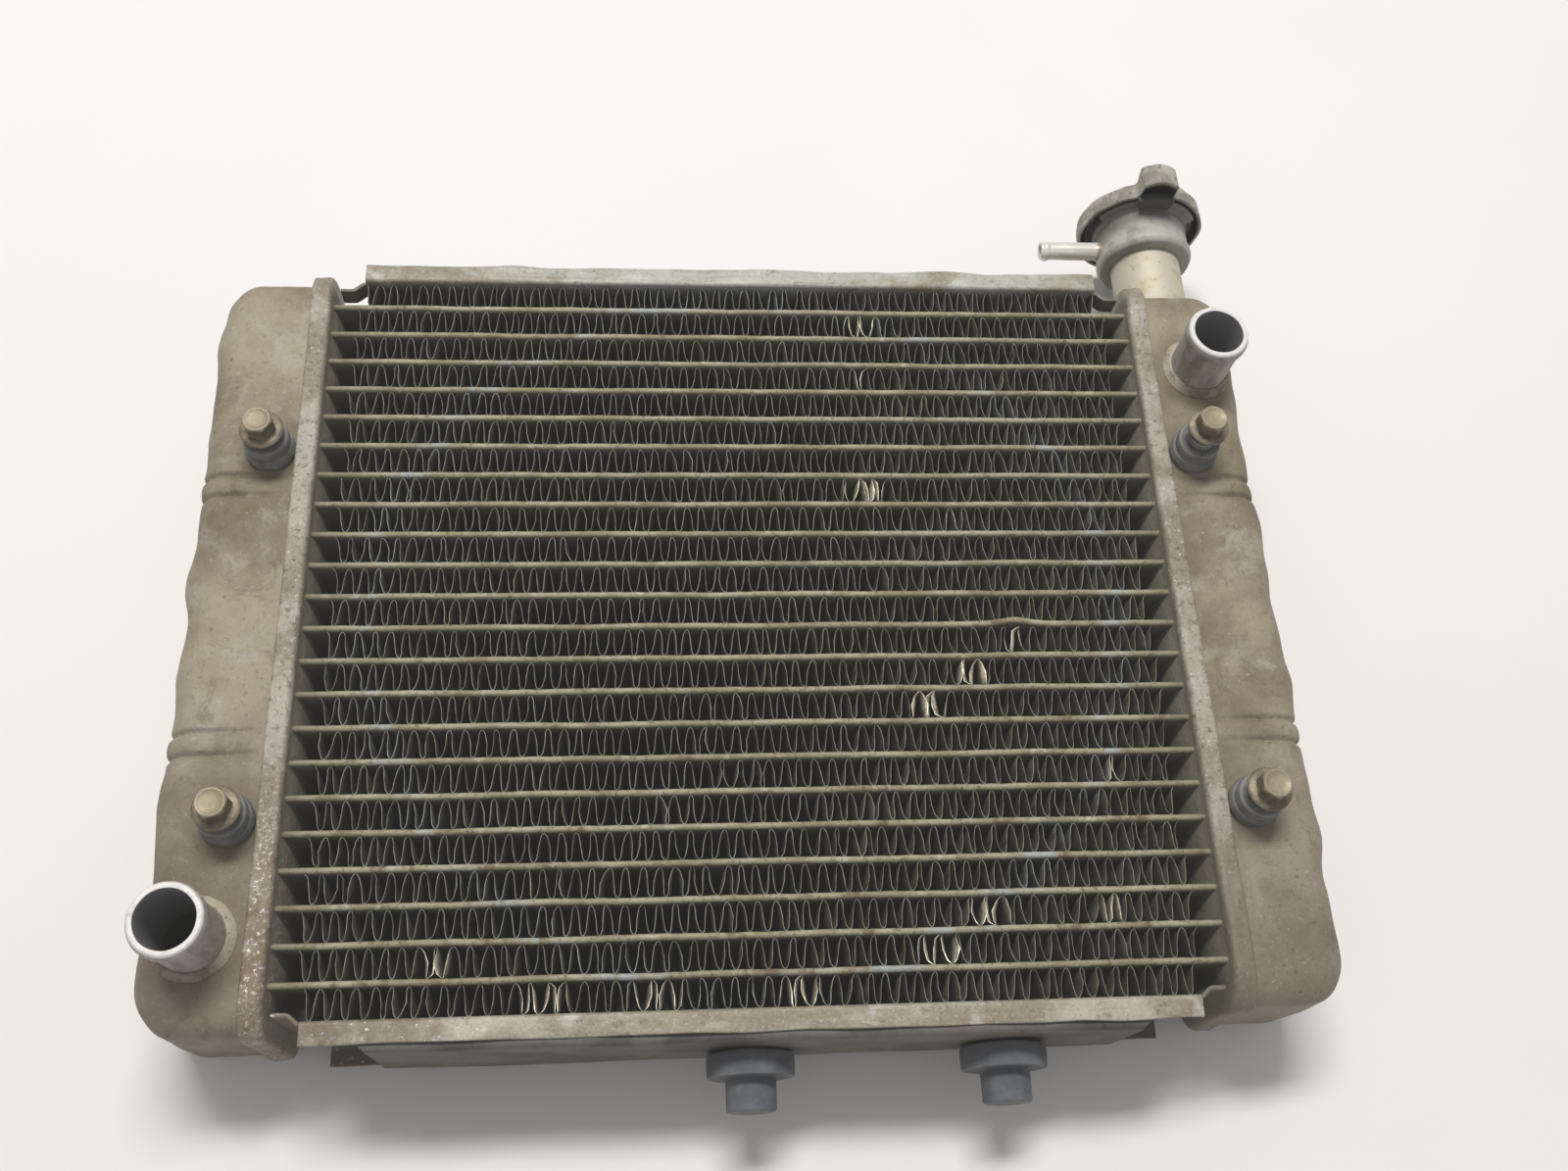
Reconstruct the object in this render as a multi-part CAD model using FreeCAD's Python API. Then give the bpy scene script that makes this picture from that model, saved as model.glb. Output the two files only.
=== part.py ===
"""Small cross-flow aluminium car radiator, lying on its back.

Every shape is drawn in the core frame and moved to the part frame on export.
Core frame: X along the tubes, +Y towards the filler neck, +Z out of the front
face; its origin is the middle of the core on the plane of the tubes' front
edges. Part frame: same directions, origin at the bottom centre of the
bounding box. Millimetres throughout.
"""
import FreeCAD, Part
import math
import os

from FreeCAD import Vector

# ---------------------------------------------------------------- core
TUBE_COUNT = 22
TUBE_PITCH = 10.0
TUBE_THICKNESS = 1.8
TUBE_DEPTH = 42.0
TUBE_WALL = 0.3
TUBE_END_X = 131.0
FIN_SHEET = 0.2
FIN_PERIOD = 4.47
FIN_PERIODS = 54
OUTER_FIN_PERIODS = 53
FIN_CREST = 0.6
FIN_RECESS = 1.0
CORE_HALF_Y = TUBE_PITCH * (TUBE_COUNT + 1) / 2 - TUBE_THICKNESS / 2

# ---------------------------------------------------------------- headers
RIM_FRONT_Z = 3.8
RIM_BACK_Z = -47.5
RIM_INNER_X = 127.8
RIM_OUTER_X = 134.0
RIM_HALF_Y = 116.0
RIM_WALL = 1.6
CROWN_X = 124.6
CROWN_HALF_Y = 113.0
CROWN_END_ROUND = 6.0
CROWN_FRONT_Z = 1.4
CROWN_BACK_Z = -TUBE_DEPTH - 1.4
HEADER_WALL = 1.8

# ---------------------------------------------------------------- tanks
TANK_FRONT_Z = RIM_FRONT_Z - RIM_WALL
TANK_BACK_Z = RIM_BACK_Z + RIM_WALL
TANK_HALF_Y = RIM_HALF_Y - RIM_WALL
TANK_OUTER_X = 161.7
TANK_WALL = 2.0
TANK_CORNER = 10.0
TANK_EDGE = 8.0
TANK_SEAT_X = RIM_INNER_X + HEADER_WALL
BEAD_Y = 40.0
BEAD_HALF_WIDTH = 2.6
BEAD_GROOVE = 1.2
BEAD_DEPTH = 1.0

# ---------------------------------------------------------------- side plates and bracket
PLATE_WALL = 1.2
PLATE_HALF_X = 118.6
PLATE_LIP_Y = 120.3
PLATE_FRONT_Z = 1.0
PLATE_BACK_Z = -TUBE_DEPTH - 1.0
TAB_DIP_Y = 109.6
TAB_FRONT_Z = -1.5
TAB_BACK_Z = -36.0
BRACKET_HALF_X = 105.0
BRACKET_FACE_Y = 122.5
BRACKET_WALL = 1.5
BRACKET_BACK_Z = -35.0
BRACKET_CHAMFER = 3.0

# ---------------------------------------------------------------- hose pipes
PIPE_OUTER_R = 9.0
PIPE_BORE_R = 7.6
PIPE_BEAD_R = 9.8
PIPE_BEAD_DROP = 2.6
PIPE_BEAD_HALF = 1.1
WELD_R = 11.4
WELD_HEIGHT = 2.6
INLET = Vector(148.0, 82.7, 24.0)
OUTLET = Vector(-147.1, -92.9, 27.0)

# ---------------------------------------------------------------- bolts, grommets and bosses
BOLT_X = 141.3
BOLT_UPPER_Y = 51.5
BOLT_LOWER_Y = -62.0
BOLT_R = 3.0
BOLT_HEX = 8.0
BOLT_HEAD = 5.4
BOLT_FLANGE_R = 6.3
BOLT_FLANGE = 1.3
BOLT_SHANK = 18.0
SLEEVE_TOP_Z = 14.2
SLEEVE_R = 4.2
SLEEVE_BORE_R = 3.3
GROMMET_BASE_R = 7.2
GROMMET_BASE_Z = 6.6
GROMMET_TOP_R = 6.9
GROMMET_TOP_Z = 11.0
BOSS_R = 6.0
BOSS_BOTTOM_Z = -12.0
BOSS_BORE_R = 3.05
BOSS_BORE_Z = -9.0
# place of each bolt and how far it is backed out of its boss
BOLTS = (
    (-BOLT_X, BOLT_UPPER_Y, 0.0),
    (BOLT_X, BOLT_UPPER_Y, 3.6),
    (-BOLT_X, BOLT_LOWER_Y, 0.6),
    (BOLT_X, BOLT_LOWER_Y, 1.0),
)

# ---------------------------------------------------------------- lower mounting pins
PIN_XS = (-2.3, 68.0)
PIN_Z = -22.0
PIN_R = 4.6
PIN_TIP_Y = 136.5
PIN_COLLAR_R = 8.0
PIN_HEAD_R = 6.0
PIN_HEAD = 1.0
PAD_FLANGE_R = 12.0
PAD_FLANGE_Y = 129.5
PAD_BOSS_R = 6.75
PAD_TIP_Y = 138.5
PAD_FOOT_Y = 123.3

# ---------------------------------------------------------------- filler neck
NECK_X = 144.7
NECK_Z = -18.0
NECK_R = 11.8
NECK_BORE_R = 10.4
CUP_BOTTOM_Y = 137.1
CUP_WALL = 1.2
CUP_R = 15.8
CAM_Y = 151.2
CAM_THICKNESS = 1.2
CAM_R = 19.4
CAM_NOTCH_DEG = 27.0
SPOUT_Y = 144.1
SPOUT_R = 3.1
SPOUT_BORE_R = 2.2
SPOUT_TIP_X = 108.0
SPOUT_BEAD_R = 3.6

# ---------------------------------------------------------------- pressure cap
CAP_R = 21.8
CAP_WALL = 1.2
CAP_SKIRT_Y = 152.8
CAP_TOP_Y = 158.3
EAR_R = 29.3
EAR_ROOT_HALF = 7.2
EAR_TIP_HALF = 4.6
EAR_TOP_Y = 160.0
LUG_INNER_R = 16.9
LUG_DEG = 17.0
LUG_GAP = 0.3
RIVET_HEAD_R = 4.5
RIVET_HEAD = 0.9
RIVET_R = 3.0
RIVET_SHOULDER_R = 5.5
STEM_R = 2.0
STEM_END_Y = 146.6
SEAL_INNER_R = 12.8
SEAL_R = 18.0
SEAL_GAP = 0.1
SEAL_THICKNESS = 1.1
DISC_R = 18.6
DISC_THICKNESS = 0.5

# ---------------------------------------------------------------- valves in the cap
SEAT_Y = CUP_BOTTOM_Y + CUP_WALL
VALVE_GAP = 0.05
GASKET_INNER_R = 6.0
GASKET_R = 12.2
GASKET_THICKNESS = 1.5
VALVE_PLATE_R = 12.5
VALVE_PLATE = 1.0
VALVE_PORT_R = 1.4
GUIDE_BORE_R = 2.07
GUIDE_R = 4.2
GUIDE_ROOM_R = 3.3
GUIDE_NECK_Y = 146.2
GUIDE_TOP_Y = 151.2
MAIN_SPRING_R = 8.6
MAIN_SPRING_WIRE_R = 0.75
MAIN_SPRING_TURNS = 4
VACUUM_DISC_R = 4.6
VACUUM_DISC = 0.6
VACUUM_STEM_R = 0.9
VACUUM_COLLAR_R = 2.9
VACUUM_COLLAR = 0.6
VACUUM_TOP_Y = 144.0
VACUUM_SPRING_R = 2.2
VACUUM_SPRING_WIRE_R = 0.3
VACUUM_SPRING_TURNS = 2
SPRING_CLEARANCE = 0.05
COIL_STEPS = 16
COIL_SIDES = 8

# ---------------------------------------------------------------- part frame
ORIGIN = Vector(
    (NECK_X + CAP_R - TANK_OUTER_X) / 2,
    (EAR_TOP_Y - PAD_TIP_Y) / 2,
    RIM_BACK_Z,
)


# ================================================================ helpers
def block(x_range, y_range, z_range):
    """Box between the given limits, each a (low, high) pair."""
    size = [high - low for low, high in (x_range, y_range, z_range)]
    corner = Vector(x_range[0], y_range[0], z_range[0])
    return Part.makeBox(*size, corner)


def rod(radius, start, end):
    """Solid cylinder between two points."""
    along = end - start
    return Part.makeCylinder(radius, along.Length, start, along)


def prism(points, push):
    """Closed outline swept along the vector push."""
    outline = Part.makePolygon(list(points) + [points[0]])
    return Part.Face(outline).extrude(push)


def mirrored(shape):
    """The same shape on the other side of the core, across X = 0."""
    return shape.mirror(Vector(0, 0, 0), Vector(1, 0, 0))


def in_pan_edges(shape, z, open_x):
    """Edges that lie in the plane at height z, without the one on the open side."""
    found = []
    for edge in shape.Edges:
        box = edge.BoundBox
        flat = abs(box.ZMin - z) < 1e-4 and abs(box.ZMax - z) < 1e-4
        if flat and box.XMax > open_x + 1e-3:
            found.append(edge)
    return found


def turned_on_neck(profile):
    """Ring or disc turned about the filler neck's axis from (radius, y) points."""
    points = [Vector(NECK_X + radius, y, NECK_Z) for radius, y in profile]
    face = Part.Face(Part.makePolygon(points + [points[0]]))
    return face.revolve(Vector(NECK_X, 0, NECK_Z), Vector(0, 1, 0), 360)


def ring_on_neck(inner, outer, low_y, high_y):
    """Flat ring on the filler neck's axis."""
    return turned_on_neck([(inner, low_y), (outer, low_y), (outer, high_y), (inner, high_y)])


def neck_sector(inner, outer, low_y, high_y, half_deg, middle_deg):
    """Part of a flat ring on the neck, centred on an angle from +X towards +Z."""
    start = math.radians(middle_deg - half_deg)
    section = ((inner, low_y), (outer, low_y), (outer, high_y), (inner, high_y), (inner, low_y))
    face = Part.Face(Part.makePolygon([
        Vector(NECK_X + radius * math.cos(start), y, NECK_Z + radius * math.sin(start))
        for radius, y in section
    ]))
    return face.revolve(Vector(NECK_X, 0, NECK_Z), Vector(0, -1, 0), 2 * half_deg)


def coil_on_neck(radius, wire_r, turns, low_y, high_y):
    """Helical spring on the neck's axis between two faces, its wire drawn with flat facets."""
    bottom = low_y + wire_r + SPRING_CLEARANCE
    height = high_y - low_y - 2 * (wire_r + SPRING_CLEARANCE)
    steps = turns * COIL_STEPS
    rings = []
    for step in range(steps + 1):
        turn = 2 * math.pi * step / COIL_STEPS
        out = Vector(math.cos(turn), 0, math.sin(turn))
        middle = Vector(NECK_X, bottom + height * step / steps, NECK_Z) + out * radius
        sides = [2 * math.pi * side / COIL_SIDES for side in range(COIL_SIDES)]
        rings.append([
            middle + out * (wire_r * math.cos(side)) + Vector(0, wire_r * math.sin(side), 0)
            for side in sides
        ])
    facets = [rings[0], rings[-1]]
    for ring, after in zip(rings, rings[1:]):
        for side in range(COIL_SIDES):
            beside = (side + 1) % COIL_SIDES
            facets.append([ring[side], ring[beside], after[beside]])
            facets.append([ring[side], after[beside], after[side]])
    skin = Part.Shell([Part.Face(Part.makePolygon(points + points[:1])) for points in facets])
    coil = Part.Solid(skin)
    if coil.Volume < 0:
        coil.reverse()
    return coil


def save(name, shape):
    """Moves a shape from the core frame to the part frame and writes its STEP file."""
    placed = shape.copy()
    placed.translate(-ORIGIN)
    placed.exportStep("parts/%s.step" % name)


# ================================================================ tubes and fins
def flat_tube(y, half_x, shrink=0.0):
    """Flat tube with round front and back edges, as one closed solid."""
    radius = TUBE_THICKNESS / 2 - shrink
    front = Vector(-half_x, y, -TUBE_THICKNESS / 2)
    back = Vector(-half_x, y, -TUBE_DEPTH + TUBE_THICKNESS / 2)
    side = Vector(0, radius, 0)
    wire = Part.Wire([
        Part.LineSegment(back + side, front + side).toShape(),
        Part.Arc(front + side, front + Vector(0, 0, radius), front - side).toShape(),
        Part.LineSegment(front - side, back - side).toShape(),
        Part.Arc(back - side, back - Vector(0, 0, radius), back + side).toShape(),
    ])
    return Part.Face(wire).extrude(Vector(2 * half_x, 0, 0))


def tube_rows():
    """Y of the middle of every tube."""
    return [TUBE_PITCH * (row - (TUBE_COUNT - 1) / 2) for row in range(TUBE_COUNT)]


def hollow_tubes():
    """All flat tubes, each with its water passage."""
    return [
        flat_tube(y, TUBE_END_X).cut(flat_tube(y, TUBE_END_X + 1, TUBE_WALL))
        for y in tube_rows()
    ]


def fin(y, periods):
    """One corrugated fin strip: flat crests on both neighbours, thin webs between."""
    half_height = (TUBE_PITCH - TUBE_THICKNESS) / 2
    first = -FIN_PERIOD * periods / 2
    wide = FIN_CREST / 2 + FIN_SHEET / 2
    narrow = FIN_CREST / 2 - FIN_SHEET / 2
    over = []
    under = []
    for crest in range(2 * periods + 1):
        middle = first + FIN_PERIOD / 2 * crest
        if crest % 2:
            over += [(middle - narrow, FIN_SHEET - half_height), (middle + narrow, FIN_SHEET - half_height)]
            under += [(middle - wide, -half_height), (middle + wide, -half_height)]
        else:
            over += [(middle - wide, half_height), (middle + wide, half_height)]
            under += [(middle - narrow, half_height - FIN_SHEET), (middle + narrow, half_height - FIN_SHEET)]
    outline = [Vector(across, y + up, -FIN_RECESS) for across, up in under + over[::-1]]
    return prism(outline, Vector(0, 0, -(TUBE_DEPTH - 2 * FIN_RECESS)))


# ================================================================ headers and tanks
def crown(inset):
    """Crowned tube plate, bulging towards the core; inset makes the hollow behind it."""
    deep = CROWN_X + inset
    shallow = RIM_INNER_X + inset
    end_x = RIM_INNER_X + HEADER_WALL
    front = CROWN_FRONT_Z - inset
    back = CROWN_BACK_Z + inset
    middle = (front + back) / 2
    arch = Part.Arc(Vector(shallow, 0, front), Vector(deep, 0, middle), Vector(shallow, 0, back)).toShape()
    corners = [Vector(shallow, 0, back), Vector(shallow, 0, front)]
    if end_x > shallow + 1e-6:
        corners[1:1] = [Vector(end_x, 0, back), Vector(end_x, 0, front)]
    sides = [Part.LineSegment(start, end).toShape() for start, end in zip(corners, corners[1:])]
    half_y = CROWN_HALF_Y - inset
    body = Part.Face(Part.Wire([arch] + sides)).extrude(Vector(0, 2 * half_y, 0))
    body.translate(Vector(0, -half_y, 0))
    return body.common(rounded_ends(deep, half_y))


def rounded_ends(low_x, half_y):
    """Plan outline of the crown: long edge towards the core, round at both ends."""
    inner_x = low_x + CROWN_END_ROUND
    straight_y = half_y - CROWN_END_ROUND
    sag = CROWN_END_ROUND * (1 - math.sqrt(0.5))
    wire = Part.Wire([
        Part.LineSegment(Vector(low_x, -straight_y, 0), Vector(low_x, straight_y, 0)).toShape(),
        Part.Arc(
            Vector(low_x, straight_y, 0),
            Vector(low_x + sag, half_y - sag, 0),
            Vector(inner_x, half_y, 0),
        ).toShape(),
        Part.LineSegment(Vector(inner_x, half_y, 0), Vector(inner_x, -half_y, 0)).toShape(),
        Part.Arc(
            Vector(inner_x, -half_y, 0),
            Vector(low_x + sag, -half_y + sag, 0),
            Vector(low_x, -straight_y, 0),
        ).toShape(),
    ])
    body = Part.Face(wire).extrude(Vector(0, 0, RIM_FRONT_Z - RIM_BACK_Z))
    body.translate(Vector(0, 0, RIM_BACK_Z))
    return body


def tank_block(inset, start_x):
    """Solid of the tank's outside, or of its hollow when inset by the wall."""
    outer_x = TANK_OUTER_X - inset
    half_y = TANK_HALF_Y - inset
    front = TANK_FRONT_Z - inset
    back = TANK_BACK_Z + inset
    body = block((start_x, outer_x), (-half_y, half_y), (back, front))
    upright = [
        edge for edge in body.Edges
        if edge.BoundBox.ZLength > 1 and edge.BoundBox.XMin > outer_x - 1e-3
    ]
    body = body.makeFillet(TANK_CORNER - inset, upright)
    for z in (front, back):
        body = body.makeFillet(TANK_EDGE - inset, in_pan_edges(body, z, start_x))
    return body


def header():
    """Right header: crowned tube plate with a rim that the tank sits in."""
    pan = block((RIM_INNER_X, RIM_OUTER_X), (-RIM_HALF_Y, RIM_HALF_Y), (RIM_BACK_Z, RIM_FRONT_Z))
    corners = [edge for edge in pan.Edges if edge.BoundBox.XLength > 1]
    pan = pan.makeFillet(TANK_EDGE + RIM_WALL, corners)
    plate = pan.fuse(crown(0.0)).cut(tank_block(0.0, TANK_SEAT_X))
    plate = plate.cut(crown(HEADER_WALL))
    for y in tube_rows():
        plate = plate.cut(flat_tube(y, TUBE_END_X))
    return plate.removeSplitter()


def bead_grooves():
    """The four narrow grooves that flank the two stamped beads."""
    skin = tank_block(0.0, RIM_OUTER_X + 3).cut(tank_block(BEAD_DEPTH, RIM_OUTER_X + 2))
    grooves = []
    for middle in (-BEAD_Y, BEAD_Y):
        for side in (-1, 1):
            edge = middle + side * BEAD_HALF_WIDTH
            far = edge + side * BEAD_GROOVE
            slab = block(
                (RIM_OUTER_X + 2, TANK_OUTER_X + 1),
                (min(edge, far), max(edge, far)),
                (RIM_BACK_Z, RIM_FRONT_Z),
            )
            grooves.append(skin.common(slab))
    return grooves


def tank(holes):
    """Right tank: open towards the header, with the given holes through its walls."""
    shell = tank_block(0.0, TANK_SEAT_X).cut(tank_block(TANK_WALL, TANK_SEAT_X - 1))
    for tool in bead_grooves() + holes:
        shell = shell.cut(tool)
    return shell.removeSplitter()


def boss_holes():
    """Holes in the right tank's face for the two threaded bosses."""
    return [
        rod(BOSS_R, Vector(BOLT_X, y, TANK_FRONT_Z - 2 * TANK_WALL), Vector(BOLT_X, y, TANK_FRONT_Z + 1))
        for y in (BOLT_UPPER_Y, BOLT_LOWER_Y)
    ]


def pipe_hole(mouth):
    """Hole through the tank's face under a hose pipe, drawn on the right side."""
    low = Vector(abs(mouth.x), mouth.y, TANK_FRONT_Z - 2 * TANK_WALL)
    high = Vector(abs(mouth.x), mouth.y, TANK_FRONT_Z + 1)
    return rod(PIPE_BORE_R, low, high)


def neck_hole():
    """Hole through the right tank's end wall under the filler pipe."""
    inside = Vector(NECK_X, TANK_HALF_Y - 2 * TANK_WALL, NECK_Z)
    outside = Vector(NECK_X, TANK_HALF_Y + 1, NECK_Z)
    return rod(NECK_BORE_R, inside, outside)


# ================================================================ side plates and bracket
def side_plate():
    """Upper side plate: a channel over the outer fins with a bent tab into each header."""
    low = CORE_HALF_Y
    web = block((-PLATE_HALF_X, PLATE_HALF_X), (low, low + PLATE_WALL), (PLATE_BACK_Z, PLATE_FRONT_Z))
    plate = web
    for z in (PLATE_BACK_Z, PLATE_FRONT_Z - PLATE_WALL):
        lip = block((-PLATE_HALF_X, PLATE_HALF_X), (low, PLATE_LIP_Y), (z, z + PLATE_WALL))
        plate = plate.fuse(lip)
    top = low + PLATE_WALL
    dip = TAB_DIP_Y
    tab = [
        Vector(PLATE_HALF_X - 1, top, TAB_FRONT_Z),
        Vector(PLATE_HALF_X + 1, top, TAB_FRONT_Z),
        Vector(PLATE_HALF_X + 4, dip + PLATE_WALL, TAB_FRONT_Z),
        Vector(RIM_INNER_X - 1, dip + PLATE_WALL, TAB_FRONT_Z),
        Vector(RIM_INNER_X - 1, dip, TAB_FRONT_Z),
        Vector(PLATE_HALF_X + 3.4, dip, TAB_FRONT_Z),
        Vector(PLATE_HALF_X + 0.4, low, TAB_FRONT_Z),
        Vector(PLATE_HALF_X - 1, low, TAB_FRONT_Z),
    ]
    end = prism(tab, Vector(0, 0, TAB_BACK_Z - TAB_FRONT_Z)).cut(crown(0.0))
    return plate.fuse(end).fuse(mirrored(end)).removeSplitter()


def lower_bracket():
    """Channel that sits in the lower side plate and carries the two pins."""
    root = -(CORE_HALF_Y + PLATE_WALL)
    face = -BRACKET_FACE_Y
    inner = face + BRACKET_WALL
    front = PLATE_FRONT_Z - PLATE_WALL
    c = BRACKET_CHAMFER
    outline = [
        Vector(-BRACKET_HALF_X, root, front),
        Vector(-BRACKET_HALF_X, face + c, front),
        Vector(-BRACKET_HALF_X + c, face, front),
        Vector(BRACKET_HALF_X - c, face, front),
        Vector(BRACKET_HALF_X, face + c, front),
        Vector(BRACKET_HALF_X, root, front),
    ]
    body = prism(outline, Vector(0, 0, BRACKET_BACK_Z - front))
    hollow = block(
        (-BRACKET_HALF_X - 1, BRACKET_HALF_X + 1),
        (inner, root + 1),
        (BRACKET_BACK_Z + BRACKET_WALL, front - BRACKET_WALL),
    )
    body = body.cut(hollow)
    for x in PIN_XS:
        body = body.cut(rod(PIN_R, Vector(x, face - 1, PIN_Z), Vector(x, root, PIN_Z)))
    return body


def lower_pins():
    """Two studs riveted through the bracket, each with a collar under its rubber."""
    pins = []
    inner_y = -BRACKET_FACE_Y + BRACKET_WALL
    for x in PIN_XS:
        shank = rod(PIN_R, Vector(x, inner_y, PIN_Z), Vector(x, -PIN_TIP_Y, PIN_Z))
        collar = rod(PIN_COLLAR_R, Vector(x, -BRACKET_FACE_Y, PIN_Z), Vector(x, -PAD_FOOT_Y, PIN_Z))
        head = rod(PIN_HEAD_R, Vector(x, inner_y + PIN_HEAD, PIN_Z), Vector(x, inner_y, PIN_Z))
        pins.append(shank.fuse(collar).fuse(head).removeSplitter())
    return pins


def lower_pads():
    """Rubber cushions over the two pins, with the flange that the car body carries."""
    pads = []
    for x in PIN_XS:
        flange = rod(PAD_FLANGE_R, Vector(x, -PAD_FOOT_Y, PIN_Z), Vector(x, -PAD_FLANGE_Y, PIN_Z))
        boss = rod(PAD_BOSS_R, Vector(x, -PAD_FOOT_Y, PIN_Z), Vector(x, -PAD_TIP_Y, PIN_Z))
        bore = rod(PIN_R, Vector(x, -PAD_FOOT_Y, PIN_Z), Vector(x, -PIN_TIP_Y, PIN_Z))
        pads.append(flange.fuse(boss).cut(bore).removeSplitter())
    return pads


# ================================================================ hose pipes
def hose_pipe(mouth):
    """Pipe stub with a rolled bead behind its lip, standing on the tank's face."""
    foot = Vector(mouth.x, mouth.y, TANK_FRONT_Z)
    bead_z = mouth.z - PIPE_BEAD_DROP
    profile = [
        (PIPE_BORE_R, TANK_FRONT_Z),
        (PIPE_OUTER_R, TANK_FRONT_Z),
        (PIPE_OUTER_R, bead_z - PIPE_BEAD_HALF),
        (PIPE_BEAD_R, bead_z - PIPE_BEAD_HALF / 2),
        (PIPE_BEAD_R, bead_z + PIPE_BEAD_HALF / 2),
        (PIPE_OUTER_R, bead_z + PIPE_BEAD_HALF),
        (PIPE_OUTER_R, mouth.z),
        (PIPE_BORE_R, mouth.z),
    ]
    points = [Vector(foot.x + radius, foot.y, z) for radius, z in profile]
    face = Part.Face(Part.makePolygon(points + [points[0]]))
    return face.revolve(foot, Vector(0, 0, 1), 360)


def weld_ring(mouth):
    """Fillet weld around the foot of a hose pipe."""
    foot = Vector(mouth.x, mouth.y, TANK_FRONT_Z)
    points = [
        foot + Vector(PIPE_OUTER_R, 0, 0),
        foot + Vector(WELD_R, 0, 0),
        foot + Vector(PIPE_OUTER_R + 0.4, 0, WELD_HEIGHT),
        foot + Vector(PIPE_OUTER_R, 0, WELD_HEIGHT),
    ]
    face = Part.Face(Part.makePolygon(points + [points[0]]))
    return face.revolve(foot, Vector(0, 0, 1), 360)


# ================================================================ bolts on the tanks
def hexagon(across, x, y, z, height):
    """Upright hexagonal prism with its flats across the given width."""
    radius = across / math.sqrt(3)
    turns = [math.radians(60 * corner) for corner in range(6)]
    corners = [Vector(x + radius * math.cos(turn), y + radius * math.sin(turn), z) for turn in turns]
    return prism(corners, Vector(0, 0, height))


def flange_bolt(x, y, lift):
    """Bolt with a hexagonal head on a round flange, and its plain shank."""
    seat = SLEEVE_TOP_Z + lift
    head = hexagon(BOLT_HEX, x, y, seat + BOLT_FLANGE, BOLT_HEAD)
    flange = rod(BOLT_FLANGE_R, Vector(x, y, seat), Vector(x, y, seat + BOLT_FLANGE))
    shank = rod(BOLT_R, Vector(x, y, seat - BOLT_SHANK), Vector(x, y, seat))
    return head.fuse(flange).fuse(shank).removeSplitter()


def bolt_sleeve(x, y):
    """Steel distance tube inside the grommet, standing on the boss."""
    foot = Vector(x, y, TANK_FRONT_Z)
    top = Vector(x, y, SLEEVE_TOP_Z)
    return rod(SLEEVE_R, foot, top).cut(rod(SLEEVE_BORE_R, foot, top))


def bolt_grommet(x, y):
    """Stepped rubber ring around the sleeve."""
    foot = Vector(x, y, TANK_FRONT_Z)
    step = Vector(x, y, GROMMET_BASE_Z)
    top = Vector(x, y, GROMMET_TOP_Z)
    body = rod(GROMMET_BASE_R, foot, step).fuse(rod(GROMMET_TOP_R, step, top))
    return body.cut(rod(SLEEVE_R, foot, top)).removeSplitter()


def tank_boss(x, y):
    """Blind threaded boss set through the tank's face."""
    bottom = Vector(x, y, BOSS_BOTTOM_Z)
    top = Vector(x, y, TANK_FRONT_Z)
    return rod(BOSS_R, bottom, top).cut(rod(BOSS_BORE_R, Vector(x, y, BOSS_BORE_Z), top))


# ================================================================ filler neck
def filler_pipe():
    """Straight pipe from the tank's end wall to the cup."""
    return ring_on_neck(NECK_BORE_R, NECK_R, TANK_HALF_Y, CUP_BOTTOM_Y)


def filler_cup():
    """Cup with the valve seat as its floor and the cam flange as its lip."""
    inner = CUP_R - CUP_WALL
    cam_top = CAM_Y + CAM_THICKNESS
    cup = turned_on_neck([
        (NECK_BORE_R, CUP_BOTTOM_Y),
        (CUP_R, CUP_BOTTOM_Y),
        (CUP_R, CAM_Y),
        (CAM_R, CAM_Y),
        (CAM_R, cam_top),
        (inner, cam_top),
        (inner, SEAT_Y),
        (NECK_BORE_R, SEAT_Y),
    ])
    notch_r = LUG_INNER_R - 0.5
    for middle in (0, 180):
        cup = cup.cut(neck_sector(notch_r, CAM_R + 1, CAM_Y - 0.5, cam_top + 0.5, CAM_NOTCH_DEG, middle))
    spout_hole = rod(SPOUT_BORE_R, Vector(NECK_X - CUP_R - 1, SPOUT_Y, NECK_Z),
                     Vector(NECK_X, SPOUT_Y, NECK_Z))
    return cup.cut(spout_hole)


def overflow_spout():
    """Small hose spout with a bead at its tip, coped to the cup's wall."""
    wall = Vector(NECK_X - CUP_R + 3, SPOUT_Y, NECK_Z)
    tip = Vector(SPOUT_TIP_X, SPOUT_Y, NECK_Z)
    bead_low = Vector(SPOUT_TIP_X + 1.0, SPOUT_Y, NECK_Z)
    bead_high = Vector(SPOUT_TIP_X + 2.6, SPOUT_Y, NECK_Z)
    body = rod(SPOUT_R, tip, wall).fuse(rod(SPOUT_BEAD_R, bead_low, bead_high))
    cup = rod(CUP_R, Vector(NECK_X, CUP_BOTTOM_Y, NECK_Z), Vector(NECK_X, CAM_Y, NECK_Z))
    return body.cut(cup).cut(rod(SPOUT_BORE_R, tip, wall)).removeSplitter()


# ================================================================ pressure cap
def ear(direction, inset):
    """Hooded ear on the cap's rim, up (+1) or down (-1); inset gives its hollow."""
    root = CAP_R - CAP_WALL - 1.0
    tip = EAR_R - inset
    chamfer = 2.0
    half_root = EAR_ROOT_HALF - inset
    half_tip = EAR_TIP_HALF - inset
    low = CAP_SKIRT_Y - (1.0 if inset else 0.0)
    outline = [
        (-half_root, root), (-half_tip - chamfer, tip - chamfer), (-half_tip, tip),
        (half_tip, tip), (half_tip + chamfer, tip - chamfer), (half_root, root),
    ]
    points = [Vector(NECK_X + across, low, NECK_Z + direction * out) for across, out in outline]
    return prism(points, Vector(0, EAR_TOP_Y - inset - low, 0))


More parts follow.
